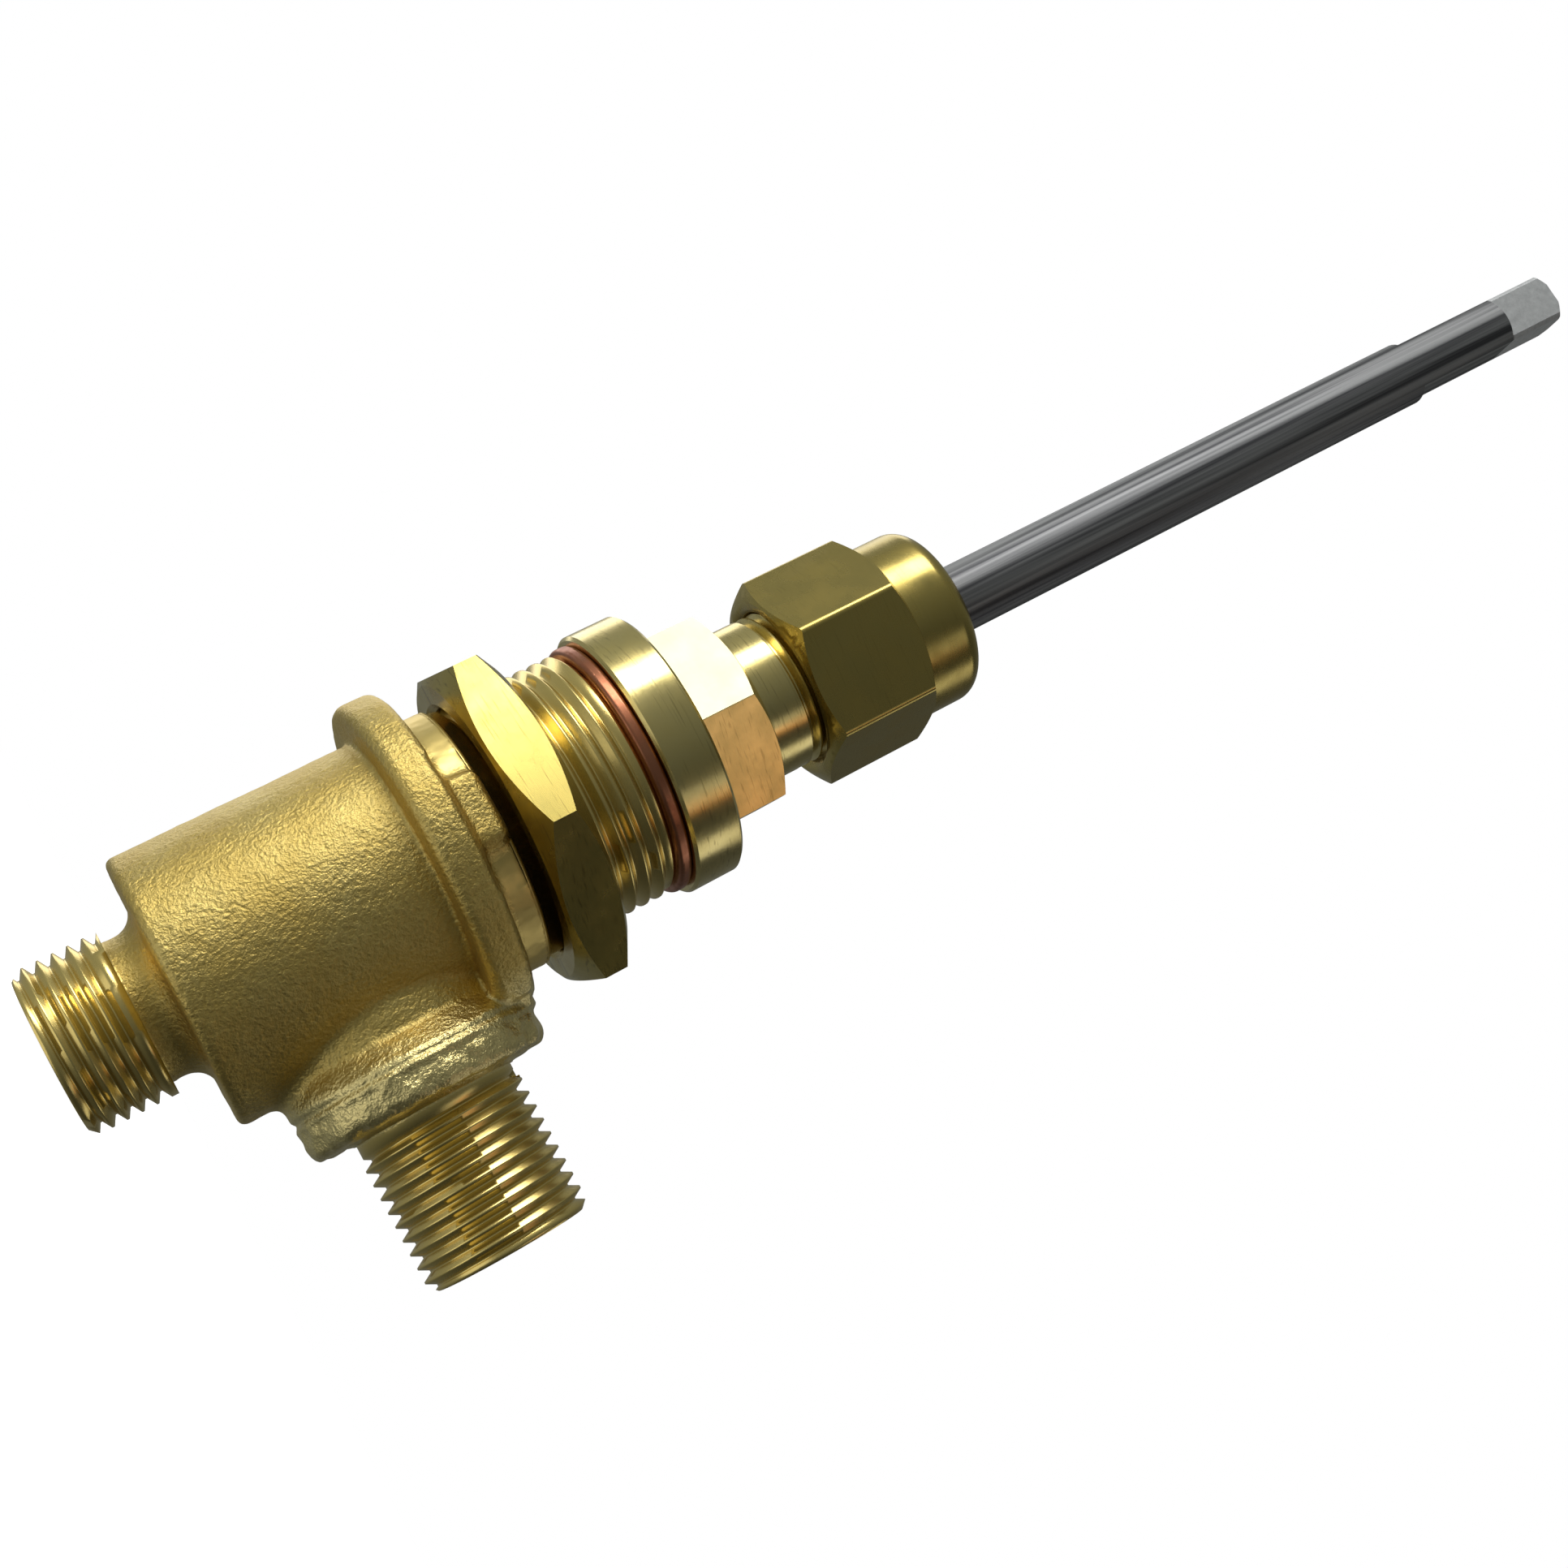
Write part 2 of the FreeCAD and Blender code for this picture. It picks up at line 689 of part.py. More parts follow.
def make_disc_holder():
    """Cup for the seal disc, stem, and a vented guide that runs in the chamber."""
    body = new_body("disc_holder")
    stem = stem_radius
    guide = chamber_fit
    rim_bottom = disc_start + size.disc_thick / 2
    screw_hole = size.disc_screw_dia / 2
    screw_end = disc_washer_start + size.disc_screw_len
    revolve(body, [
        (ZERO, screw_end),
        (screw_hole, screw_end),
        (screw_hole, disc_top),
        (disc_radius, disc_top),
        (disc_radius, rim_bottom),
        ((disc_radius + size.holder_cup_wall), rim_bottom),
        ((disc_radius + size.holder_cup_wall), holder_head_top),
        (stem, holder_head_top),
        (stem, holder_guide_start),
        (guide, holder_guide_start),
        (guide, holder_guide_top),
        (stem, holder_guide_top),
        (stem, holder_guide_top + size.holder_boss_len),
        (ZERO, holder_guide_top + size.holder_boss_len),
    ])
    sketch = attached_sketch(body, "XY_Plane", lift_z=holder_guide_start - OVERRUN)
    draw_circle(sketch, (chamber_wall - size.vent_dia / 2 - size.vent_edge, ZERO), size.vent_dia)
    vent = pad_sketch(body, sketch, size.holder_guide_thick + OVERRUN * 2, cut=True, reverse=True)
    ring_pattern(body, vent, 6)
    return body


def ring_pattern(body, feature, count):
    pattern = body.newObject("PartDesign::PolarPattern", body.Name + "_pattern")
    pattern.Originals = [feature]
    pattern.Axis = (origin_plane(body, "Z_Axis"), [""])
    pattern.Angle = 360
    pattern.Occurrences = count
    document.recompute()
    body.Tip = pattern
    document.recompute()
    return pattern


def make_relief_spring():
    """A round-wire coil between the holder's guide and the follower."""
    feature = document.addObject("Part::Feature", "relief_spring")
    feature.Label = "relief_spring"
    wire = size.spring_wire_dia.value
    space = follower_start.value - holder_guide_top.value
    rise = space - wire - 2 * size.disc_gap.value
    radius = spring_radius.value
    helix = Part.makeHelix(rise / size.spring_turns.value, rise, radius)
    start = helix.Edges[0].firstVertex().Point
    direction = helix.Edges[0].tangentAt(helix.Edges[0].FirstParameter)
    section = Part.Wire(Part.makeCircle(wire / 2, start, direction))
    feature.Shape = Part.Wire(helix.Edges).makePipeShell([section], True, True)
    height = holder_guide_top.value + wire / 2 + size.disc_gap.value
    feature.Placement = FreeCAD.Placement(FreeCAD.Vector(0, 0, height), FreeCAD.Rotation())
    return feature


def make_spring_follower():
    """Flanged disc on the spring, with a cup for the thrust ball and a hole for the key."""
    body = new_body("spring_follower")
    boss = size.follower_boss_dia / 2
    cup = size.ball_dia / 2 + size.running_gap
    cup_floor = ball_centre - size.ball_dia / 2
    flange = chamber_fit
    revolve(body, [
        (ZERO, follower_start - size.follower_boss_down),
        (stem_radius, follower_start - size.follower_boss_down),
        (stem_radius, follower_start),
        (flange, follower_start),
        (flange, follower_top),
        (boss, follower_top),
        (boss, follower_boss_top),
        (cup, follower_boss_top),
        (cup, cup_floor),
        (ZERO, cup_floor),
    ])
    hole_end = boss + OVERRUN
    sketch = attached_sketch(body, "YZ_Plane", lift_z=-hole_end)
    draw_circle(sketch, (ZERO, key_height), size.key_dia)
    hole = pad_sketch(body, sketch, flange - hole_end + OVERRUN, cut=True)
    return hole


def make_guide_key():
    """The pin that stands out of the follower into the body's slot."""
    body = new_body("guide_key")
    inner = size.follower_boss_dia / 2 + OVERRUN
    sketch = attached_sketch(body, "YZ_Plane", lift_z=-key_reach)
    draw_circle(sketch, (ZERO, key_height), size.key_dia)
    pad_sketch(body, sketch, key_reach - inner)


def make_thrust_ball():
    ball = document.addObject("Part::Sphere", "thrust_ball")
    ball.Label = "thrust_ball"
    ball.setExpression("Radius", (size.ball_dia / 2).text)
    ball.setExpression("Placement.Base.z", ball_centre.text)


# ---------------------------------------------------------------- outer pieces


def make_panel_locknut():
    body = new_body("panel_locknut")
    hex_prism(body, size.locknut_flats, locknut_start, size.locknut_thick, size.locknut_angle)
    trim_hex(body, size.locknut_flats, locknut_start, locknut_end)
    bore = size.panel_thread_dia / 2 + size.thread_gap
    break_in = bore + size.edge_break * 2
    revolve(body, [
        (ZERO, locknut_start - OVERRUN),
        (break_in, locknut_start - OVERRUN),
        (break_in, locknut_start),
        (bore, locknut_start + size.edge_break * 2),
        (bore, locknut_end - size.edge_break * 2),
        (break_in, locknut_end),
        (break_in, locknut_end + OVERRUN),
        (ZERO, locknut_end + OVERRUN),
    ], cut=True)


def make_copper_washer():
    inner = chamber_wall + size.loose_gap
    outer = size.copper_dia / 2
    body = make_ring("copper_washer", inner, outer, body_top, collar_start)
    rims = [(outer, body_top), (outer, collar_start)]
    break_rings(body, "Fillet", rims, size.copper_thick * 0.35)


def make_bonnet():
    body = new_body("bonnet")
    collar = size.collar_dia / 2
    neck = size.neck_dia / 2
    spigot = chamber_fit
    revolve(body, [
        (ZERO, spigot_bottom),
        (spigot, spigot_bottom),
        (spigot, collar_start),
        (collar, collar_start),
        (collar, collar_end),
        (neck, collar_end),
        (neck, neck_top),
        (ZERO, neck_top),
    ])
    rims = [(collar, collar_start), (collar, collar_end)]
    break_rings(body, "Chamfer", rims, size.edge_break)
    hex_prism(body, size.bonnet_hex_flats, collar_end, size.bonnet_hex_thick, size.bonnet_hex_angle)
    trim_hex(body, size.bonnet_hex_flats, collar_end, bonnet_hex_end, bottom=False)
    screw_bore = size.screw_dia / 2 + size.thread_gap
    rod_bore = size.rod_dia / 2 + size.running_gap * 2
    revolve(body, [
        (ZERO, spigot_bottom - OVERRUN),
        (screw_bore, spigot_bottom - OVERRUN),
        (screw_bore, backseat_height),
        (rod_bore, backseat_height + (screw_bore - rod_bore)),
        (rod_bore, packing_floor),
        (packing_bore, packing_floor),
        (packing_bore, neck_top + OVERRUN),
        (ZERO, neck_top + OVERRUN),
    ], cut=True)
    cut_thread(body, size.neck_dia, size.neck_thread_depth, size.neck_thread_pitch,
               start=neck_thread_start, length=neck_top - neck_thread_start
               + size.neck_thread_pitch)
    return body


def make_packing():
    """A brass base ring and soft rings round the rod, and the bush that presses on them."""
    rod = size.rod_dia / 2 + size.running_gap
    wall = packing_bore
    make_ring("packing_base_ring", rod, wall, packing_floor, packing_start)
    for index in range(3):
        start = packing_start + size.packing_ring_len * index
        name = "packing_ring_%d" % (index + 1)
        make_ring(name, rod, wall, start, start + size.packing_ring_len)
    bush = new_body("gland_follower")
    sleeve = wall - size.running_gap
    gland_flange = size.neck_dia / 2 - size.gland_flange_inset
    revolve(bush, [
        (rod, packing_end),
        (sleeve, packing_end),
        (sleeve, gland_flange_start),
        (gland_flange, gland_flange_start),
        (gland_flange, gland_flange_end),
        (rod, gland_flange_end),
    ])


def make_gland_nut():
    body = new_body("gland_nut")
    nose = size.nose_dia / 2
    revolve(body, [
        (ZERO, gland_nut_start),
        (nose, gland_nut_start),
        (nose, nose_top),
        (ZERO, nose_top),
    ])
    break_rings(body, "Fillet", [(nose, nose_top)], size.nose_round)
    hex_prism(body, size.gland_hex_flats, gland_nut_start, size.gland_hex_thick,
              size.gland_hex_angle)
    trim_hex(body, size.gland_hex_flats, gland_nut_start, gland_hex_end)
    thread_bore = size.neck_dia / 2 + size.thread_gap
    rod_bore = size.rod_dia / 2 + size.running_gap * 2
    mouth = thread_bore + size.edge_break * 2
    revolve(body, [
        (ZERO, gland_nut_start - OVERRUN),
        (mouth, gland_nut_start - OVERRUN),
        (mouth, gland_nut_start),
        (thread_bore, gland_nut_start + size.edge_break * 2),
        (thread_bore, gland_flange_end),
        (rod_bore, gland_flange_end),
        (rod_bore, nose_top - size.edge_break),
        (rod_bore + size.edge_break, nose_top),
        (rod_bore + size.edge_break, nose_top + OVERRUN),
        (ZERO, nose_top + OVERRUN),
    ], cut=True)


# ---------------------------------------------------------------- spindle


def make_spindle():
    body = new_body("spindle")
    rod = size.rod_dia / 2
    screw = size.screw_dia / 2
    bevel = size.edge_break * 2.5
    cup = size.ball_dia / 2 + size.running_gap * 2
    cup_top = ball_centre + size.ball_dia / 2 + size.running_gap * 2
    revolve(body, [
        (ZERO, cup_top),
        (cup, cup_top),
        (cup, screw_start),
        (screw - bevel, screw_start),
        (screw, screw_start + bevel),
        (screw, screw_top - (screw - rod)),
        (rod, screw_top),
        (rod, size.spindle_top - size.edge_break * 2),
        (rod - size.edge_break * 2, size.spindle_top),
        (ZERO, size.spindle_top),
    ])
    cut_thread(body, size.screw_dia, size.screw_depth, size.screw_pitch,
               start=screw_start - size.screw_pitch,
               length=size.screw_len + size.screw_pitch)
    cut_flats(body, size.long_flats, size.long_flats_len, size.flats_angle)
    cut_flats(body, size.short_flats, size.short_flats_len, size.flats_angle + 90.0)
    return body


def cut_flats(body, across, length, angle):
    """Mills two flats that face each other, over a length that ends at the rod's end."""
    start = size.spindle_top - length
    for side in (0.0, 180.0):
        sketch = attached_sketch(body, "XY_Plane", lift_z=start)
        sketch.setExpression("AttachmentOffset.Rotation.Angle", (angle + side).text)
        near = across / 2
        far = size.rod_dia / 2 + OVERRUN
        draw_loop(sketch, [(near, -far), (far, -far), (far, far), (near, far)])
        pad_sketch(body, sketch, size.spindle_top + OVERRUN - start, cut=True, reverse=True)


# ---------------------------------------------------------------- build and export

make_valve_body()
make_seat_ring()
make_disc_set()
make_disc_holder()
make_relief_spring()
make_spring_follower()
make_guide_key()
make_thrust_ball()
make_panel_locknut()
make_copper_washer()
make_bonnet()
make_packing()
make_gland_nut()
make_spindle()
document.recompute()

TOP_LEVEL_TYPES = ("PartDesign::Body", "Part::Feature", "Part::Sphere")
faults = []
for item in document.Objects:
    if "Invalid" in item.State or "Error" in item.State:
        faults.append("%s is in state %s" % (item.Name, item.State))
pieces = [item for item in document.Objects if item.TypeId in TOP_LEVEL_TYPES]
for piece in pieces:
    if piece.Shape.isNull() or not piece.Shape.isValid():
        faults.append("%s has no valid shape" % piece.Label)
    elif len(piece.Shape.Solids) != 1:
        faults.append("%s has %d solids" % (piece.Label, len(piece.Shape.Solids)))
if faults:
    raise RuntimeError("; ".join(faults))

os.makedirs("parts", exist_ok=True)
for piece in pieces:
    piece.Shape.exportStep(os.path.join("parts", piece.Label + ".step"))
    print("%-20s %9.1f mm3" % (piece.Label, piece.Shape.Volume))
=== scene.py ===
# %% [markdown]
# # A panel-mounted brass relief valve
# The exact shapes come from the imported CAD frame. This lesson gives them their
# finishes, builds the cast skin of the body in mesh code, and lights the valve.
# All lengths are in metres, and +Z runs up the spindle.

# %% Load the frame
import math
import bmesh
import bpy
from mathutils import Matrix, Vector, noise


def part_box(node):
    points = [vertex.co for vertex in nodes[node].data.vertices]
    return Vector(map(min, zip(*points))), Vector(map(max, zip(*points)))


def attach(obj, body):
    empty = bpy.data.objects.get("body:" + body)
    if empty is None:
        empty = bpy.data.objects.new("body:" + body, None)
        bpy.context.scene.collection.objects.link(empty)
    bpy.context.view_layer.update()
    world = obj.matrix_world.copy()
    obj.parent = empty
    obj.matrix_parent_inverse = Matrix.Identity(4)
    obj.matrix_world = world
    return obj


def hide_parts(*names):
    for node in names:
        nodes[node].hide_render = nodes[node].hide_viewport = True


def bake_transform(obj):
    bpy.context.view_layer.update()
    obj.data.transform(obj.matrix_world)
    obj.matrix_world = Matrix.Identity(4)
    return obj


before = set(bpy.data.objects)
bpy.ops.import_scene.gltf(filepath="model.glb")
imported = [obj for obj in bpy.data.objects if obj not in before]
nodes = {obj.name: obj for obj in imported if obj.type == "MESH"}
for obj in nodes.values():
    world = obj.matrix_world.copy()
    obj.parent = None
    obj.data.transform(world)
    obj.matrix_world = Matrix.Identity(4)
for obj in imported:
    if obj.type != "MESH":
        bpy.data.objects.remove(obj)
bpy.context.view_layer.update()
MM = 0.001

# %% [markdown]
# ## Camera
# The valve is looked at from a little below its middle, with the spindle running up
# to the right. The lens is a plain one with no shift and no blur.

# %% Camera
camera_data = bpy.data.cameras.new("camera")
camera_data.lens = 46.764
camera_data.sensor_width = 36.0
camera_data.clip_start = 0.01
camera = bpy.data.objects.new("camera", camera_data)
camera.location = (0.0321969, -0.2458858, 0.0107948)
camera.rotation_euler = [math.radians(a) for a in (125.634, -57.260, -26.209)]
bpy.context.scene.collection.objects.link(camera)
bpy.context.scene.camera = camera
print("camera at", tuple(camera.location))

# %% [markdown]
# ## Two helpers
# Colours are written as sRGB hex values, the way paint charts give them, and one
# function turns them linear for the shaders. Another adds one node: its settings are
# attributes, and its inputs are either constants or the output of another node.

# %% Colour and node helpers
def linear(hex_colour):
    channels = [int(hex_colour[i:i + 2], 16) / 255 for i in (1, 3, 5)]
    curve = [c / 12.92 if c <= 0.04045 else ((c + 0.055) / 1.055) ** 2.4 for c in channels]
    return (*curve, 1.0)


def add_node(tree, kind, inputs=None, **settings):
    made = tree.nodes.new(kind)
    for name, value in settings.items():
        setattr(made, name, value)
    for key, value in (inputs or {}).items():
        if isinstance(value, bpy.types.NodeSocket):
            tree.links.new(value, made.inputs[key])
        else:
            made.inputs[key].default_value = value
    return made


def new_material(name, roughness, metallic=1.0):
    material = bpy.data.materials.new(name)
    material.use_nodes = True
    tree = material.node_tree
    shader = tree.nodes["Principled BSDF"]
    shader.inputs["Roughness"].default_value = roughness
    shader.inputs["Metallic"].default_value = metallic
    place = add_node(tree, "ShaderNodeTexCoord").outputs["Object"]
    return material, tree, shader, place


def per_mm(size_mm):
    """The texture scale that gives features of this size."""
    return 1.0 / (size_mm * MM)


print("a mid brass is", [round(c, 3) for c in linear("#d9bb5e")])

# %% [markdown]
# ## The cast skin
# A casting has no crisp edge anywhere: its corners are soft, its faces are a little
# wavy, and the branch still shows the dents where it was fettled by hand. Exact CAD
# surfaces can't look like that, and bump alone would leave the outline straight. So
# the body is remade in two pieces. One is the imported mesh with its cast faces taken
# away, which keeps the threads and bores exact. The other is a voxel copy of the cast
# faces, smoothed and pushed in and out by small amounts. The copy runs a little way
# under the exact piece at each cut, so no seam opens. The values below come from the CAD
# model: where each lathe cut meets the skin, how far the bores inside reach, and where
# the locating lug stands, which is cast as a whole.

# %% Where the body is cast and where it is cut
OUTLET_HEIGHT = 35.2 * MM
INLET_CUT_END = 10.6 * MM
OUTLET_CUT_START = 25.9 * MM
PANEL_CUT_START = 55.3 * MM
SEAT_TOP = 24.4 * MM
SEAT_CLEAR = 8.4 * MM
CHAMBER_CLEAR = 14.8 * MM
OUTLET_CLEAR = 7.2 * MM
LAP = 0.4 * MM
LUG_FROM = 50.4 * MM
LUG_FOOT = 17.14 * MM
LUG_ANGLE = math.radians(267)
LUG_WAY = (math.cos(LUG_ANGLE), math.sin(LUG_ANGLE), 0)


def is_cast(point, lap):
    """True on the outer cast faces, with each cut moved by lap."""
    from_axis = math.hypot(point.x, point.y)
    from_outlet = math.hypot(point.y, point.z - OUTLET_HEIGHT)
    in_bore = from_axis < (SEAT_CLEAR if point.z < SEAT_TOP else CHAMBER_CLEAR)
    in_outlet = point.x > 0 and from_outlet < OUTLET_CLEAR
    on_lug = point.z > LUG_FROM and from_axis > LUG_FOOT
    between = INLET_CUT_END + lap < point.z and (point.z < PANEL_CUT_START - lap or on_lug)
    return between and point.x < OUTLET_CUT_START - lap and not in_bore and not in_outlet


# %% Helpers for meshes
WELD = 0.001 * MM


def welded(node):
    """A copy of a node's mesh with its doubled points joined, ready to edit."""
    work = bmesh.new()
    work.from_mesh(nodes[node].data)
    bmesh.ops.remove_doubles(work, verts=work.verts, dist=WELD)
    return work


def as_piece(name, work):
    """A new object in the scene from an edited mesh."""
    mesh = bpy.data.meshes.new(name)
    work.to_mesh(mesh)
    work.free()
    piece = bpy.data.objects.new(name, mesh)
    bpy.context.scene.collection.objects.link(piece)
    return piece


def cut_across(work, place, way, **sides):
    """Cuts every face along a plane; sides says which side to throw away, if any."""
    bmesh.ops.bisect_plane(work, geom=work.verts[:] + work.edges[:] + work.faces[:],
                           plane_co=place, plane_no=way, **sides)


def shade(piece, sharp_from):
    """Smooth shading, with an edge where two faces meet at sharp_from degrees or more."""
    piece.data.shade_smooth()
    piece.data.set_sharp_from_angle(angle=math.radians(sharp_from))


print("cast from", INLET_CUT_END, "to", PANEL_CUT_START)

# %% The exact piece, without its cast faces
work = welded("valve_body")
cuts = [((0, 0, INLET_CUT_END + LAP), (0, 0, 1)), ((0, 0, PANEL_CUT_START - LAP), (0, 0, 1)),
        ((OUTLET_CUT_START - LAP, 0, 0), (1, 0, 0)),
        ([LUG_FOOT * share for share in LUG_WAY], LUG_WAY)]
for place, way in cuts:
    cut_across(work, place, way)
cast_faces = [face for face in work.faces if is_cast(face.calc_center_median(), LAP)]
bmesh.ops.delete(work, geom=cast_faces, context="FACES")
cut_piece = as_piece("body_threads_and_bores", work)
shade(cut_piece, sharp_from=32)
print("exact piece", len(cut_piece.data.polygons), "faces")

# %% A voxel copy, smoothed
VOXEL = 0.32 * MM
SMOOTHING_TURNS = 5
cast_piece = as_piece("body_cast_skin", welded("valve_body"))
remesh = cast_piece.modifiers.new("voxels", "REMESH")
remesh.mode = "VOXEL"
remesh.voxel_size = VOXEL
smooth = cast_piece.modifiers.new("soft", "SMOOTH")
smooth.factor = 0.5
smooth.iterations = SMOOTHING_TURNS
evaluated = cast_piece.evaluated_get(bpy.context.evaluated_depsgraph_get())
cast_mesh = bpy.data.meshes.new_from_object(evaluated)
cast_piece.modifiers.clear()
cast_piece.data = cast_mesh
print("voxel copy", len(cast_mesh.vertices), "points")

# %% [markdown]
# ### Swells, grain and dents
# A mould of sand never fills quite evenly, and the branch's rim looks knocked and filed
# by hand. Displace modifiers with textures could give the swells, but the rim, the
# groove behind it and the cuts each need a rule of their own. One function of the place
# holds them all, and each point is moved along its normal by what it says. Patterns are
# (size, depth), and a seed only picks which part of the noise is used. The skin round
# the locating lug is relaxed first, until its corners melt into the flange.

# %% How far each point moves
def ramp(value, start, end):
    """0 before start, 1 after end, and a soft rise between."""
    share = min(max((value - start) / (end - start), 0.0), 1.0)
    return share * share * (3 - 2 * share)


WAVE = (7.0 * MM, 0.05 * MM)
RIPPLE = (2.0 * MM, 0.05 * MM)
GRAIN = (0.9 * MM, 0.03 * MM)
WAVE_SEED, GRAIN_SEED, RIPPLE_SEED = 3.1, 5.7, 9.3
DENT = (2.6 * MM, 0.95 * MM)
UNEVEN_SIZE = 3.5 * MM
BRANCH = (15.0 * MM, 17.0 * MM)
BRANCH_ROUGHER = 1.5
RIM_START = 20.7 * MM
RIM_ROUND = (10.6 * MM, 11.6 * MM)
GROOVE_AT = 20.3 * MM
GROOVE = (0.7 * MM, 0.45 * MM)
GROOVE_ROUND = (9.6 * MM, 10.4 * MM)
SKIN_OUT = 0.04 * MM
TUCK = 0.4 * MM
TUCK_BEFORE = 0.3 * MM
TUCK_AFTER = 0.1 * MM


def swell(point, size_and_depth, seed):
    """Smooth noise of that size and depth."""
    size, depth = size_and_depth
    return noise.noise(point / size + Vector((seed, seed, seed))) * depth


def near_cut(point):
    """1 past a lathe cut, where the skin tucks under the exact piece, and 0 on the skin."""
    off_lug = 1 - ramp(math.hypot(point.x, point.y), LUG_FOOT, LUG_FOOT + TUCK_BEFORE)
    inlet = 1 - ramp(point.z, INLET_CUT_END - TUCK_AFTER, INLET_CUT_END + TUCK_BEFORE)
    panel = off_lug * ramp(point.z, PANEL_CUT_START - TUCK_BEFORE, PANEL_CUT_START + TUCK_AFTER)
    outlet = ramp(point.x, OUTLET_CUT_START - TUCK_BEFORE, OUTLET_CUT_START + TUCK_AFTER)
    return max(inlet, panel, outlet)


def dented_rim(point, from_outlet):
    """How deep the dents on the branch's rim are at this point."""
    on_rim = ramp(point.x, RIM_START, RIM_START + MM) * ramp(from_outlet, *RIM_ROUND)
    if on_rim == 0:
        return 0.0
    size, depth = DENT
    nearest = noise.voronoi(point / size)[0][0]
    uneven = 0.5 + 0.5 * noise.noise(point / UNEVEN_SIZE)
    return on_rim * depth * max(0.0, 1 - nearest) * uneven


def skin_move(point):
    """How far the skin moves out along its normal at this point."""
    from_outlet = math.hypot(point.y, point.z - OUTLET_HEIGHT)
    rougher = 1 + BRANCH_ROUGHER * ramp(point.x, *BRANCH)
    move = SKIN_OUT + swell(point, WAVE, WAVE_SEED) + swell(point, GRAIN, GRAIN_SEED)
    move += swell(point, RIPPLE, RIPPLE_SEED) * rougher
    half_width, depth = GROOVE
    in_groove = max(0.0, 1 - abs(point.x - GROOVE_AT) / half_width)
    move -= depth * in_groove * ramp(from_outlet, *GROOVE_ROUND)
    move -= dented_rim(point, from_outlet)
    cut = near_cut(point)
    return move * (1 - cut) - TUCK * cut


# %% Relax the lug, then push the skin in and out
LUG_REACH = 9.0 * MM
LUG_TURNS = 34
work = bmesh.new()
work.from_mesh(cast_mesh)
hidden = [face for face in work.faces if not is_cast(face.calc_center_median(), -LAP)]
bmesh.ops.delete(work, geom=hidden, context="FACES")
by_lug = [point for point in work.verts if not point.is_boundary
          and point.co.z > LUG_FROM and point.co.y < 0 and abs(point.co.x) < LUG_REACH]
for turn in range(LUG_TURNS):
    bmesh.ops.smooth_vert(work, verts=by_lug, factor=0.5,
                          use_axis_x=True, use_axis_y=True, use_axis_z=True)
work.normal_update()
for point in work.verts:
    point.co += point.normal * skin_move(point.co)
work.to_mesh(cast_mesh)
work.free()
cast_mesh.shade_smooth()
for piece in (cut_piece, cast_piece):
    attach(piece, "root")
    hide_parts("valve_body")
print("skin", len(cast_mesh.polygons), "faces")

# %% [markdown]
# ## A gland nut with soft corners
# The gland nut has been turned and handled until its six corners are round. A rounded
# corner matters to the eye: it catches the light as one thin bright line between two
# dark flats. A bevel modifier with an angle limit would round the nut's sharper edges
# too. So the nut's mesh is copied and only the edges between its flats are bevelled.

# %% Round the gland nut's corners
CORNER_ROUND = 0.55 * MM
SAME_FLAT = math.radians(0.5)
LEAST_CORNER, MOST_CORNER = math.radians(50), math.radians(70)
UPRIGHT = 0.01
work = welded("gland_nut")
bmesh.ops.dissolve_limit(work, angle_limit=SAME_FLAT, verts=work.verts, edges=work.edges)
work.normal_update()


def between_flats(edge):
    """True for an edge that two upright flats share."""
    if len(edge.link_faces) != 2:
        return False
    upright = all(abs(face.normal.z) < UPRIGHT for face in edge.link_faces)
    return upright and LEAST_CORNER < edge.calc_face_angle() < MOST_CORNER


corners = [edge for edge in work.edges if between_flats(edge)]
bmesh.ops.bevel(work, geom=corners, offset=CORNER_ROUND, offset_type="OFFSET", segments=4,
                profile=0.5, affect="EDGES", clamp_overlap=True)
gland_piece = as_piece("gland_nut_rounded", work)
shade(gland_piece, sharp_from=30)
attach(gland_piece, "root")
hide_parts("gland_nut")
print("rounded", len(corners), "corner edges")

# %% [markdown]
# ## A spring that is squeezed from both ends
# The disc pushes the spring up when the valve lifts, and the follower pushes it down
# when the spindle is screwed in. A rigid coil would cut into the one that moves, and a
# shape key wouldn't follow the joints. So the coil is parted in the middle into a lower
# half and an upper half.

# %% Part the spring in two halves
spring_low, spring_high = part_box("relief_spring")
spring_waist = (0, 0, (spring_low[2] + spring_high[2]) / 2)


def half_spring(name, keep_below):
    """The part of the coil on one side of its middle."""
    work = welded("relief_spring")
    cut_across(work, spring_waist, (0, 0, 1), clear_outer=keep_below, clear_inner=not keep_below)
    half = as_piece(name, work)
    shade(half, sharp_from=40)
    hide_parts("relief_spring")
    return half


lower_spring = half_spring("relief_spring_lower", True)
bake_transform(lower_spring)
upper_spring = half_spring("relief_spring_upper", False)
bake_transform(upper_spring)
print("spring parted at", spring_waist)

# %% [markdown]
# ## Sand-cast brass
# The body is cast in sand and then blasted, so its skin is an even field of small
# dents. The eye reads them as sparkle in the lit band and as a soft matte in shade.
# The dents are drawn at half a millimetre, a little coarser than real sand, so that they
# show. The three threads and the land on the same casting are cut on a lathe, so a mask
# from the position turns the skin smooth and more golden there. Another mask makes the
# branch paler and shinier towards its rim, as filing does.

# %% Sand-cast brass
LAND_CUT_START = 52.0 * MM
LUG_MIDDLE = -0.9 * MM
LUG_HALF = 5.4 * MM
FETTLED_FROM = 18.0 * MM
SAND_MM = 0.5
SAND_DEPTH = 0.21 * MM
PATCH_MM = 7.0
LAND_EDGE = 0.5 * MM
LUG_EDGE = 1.4 * MM
RIM_EDGE = 1.5 * MM


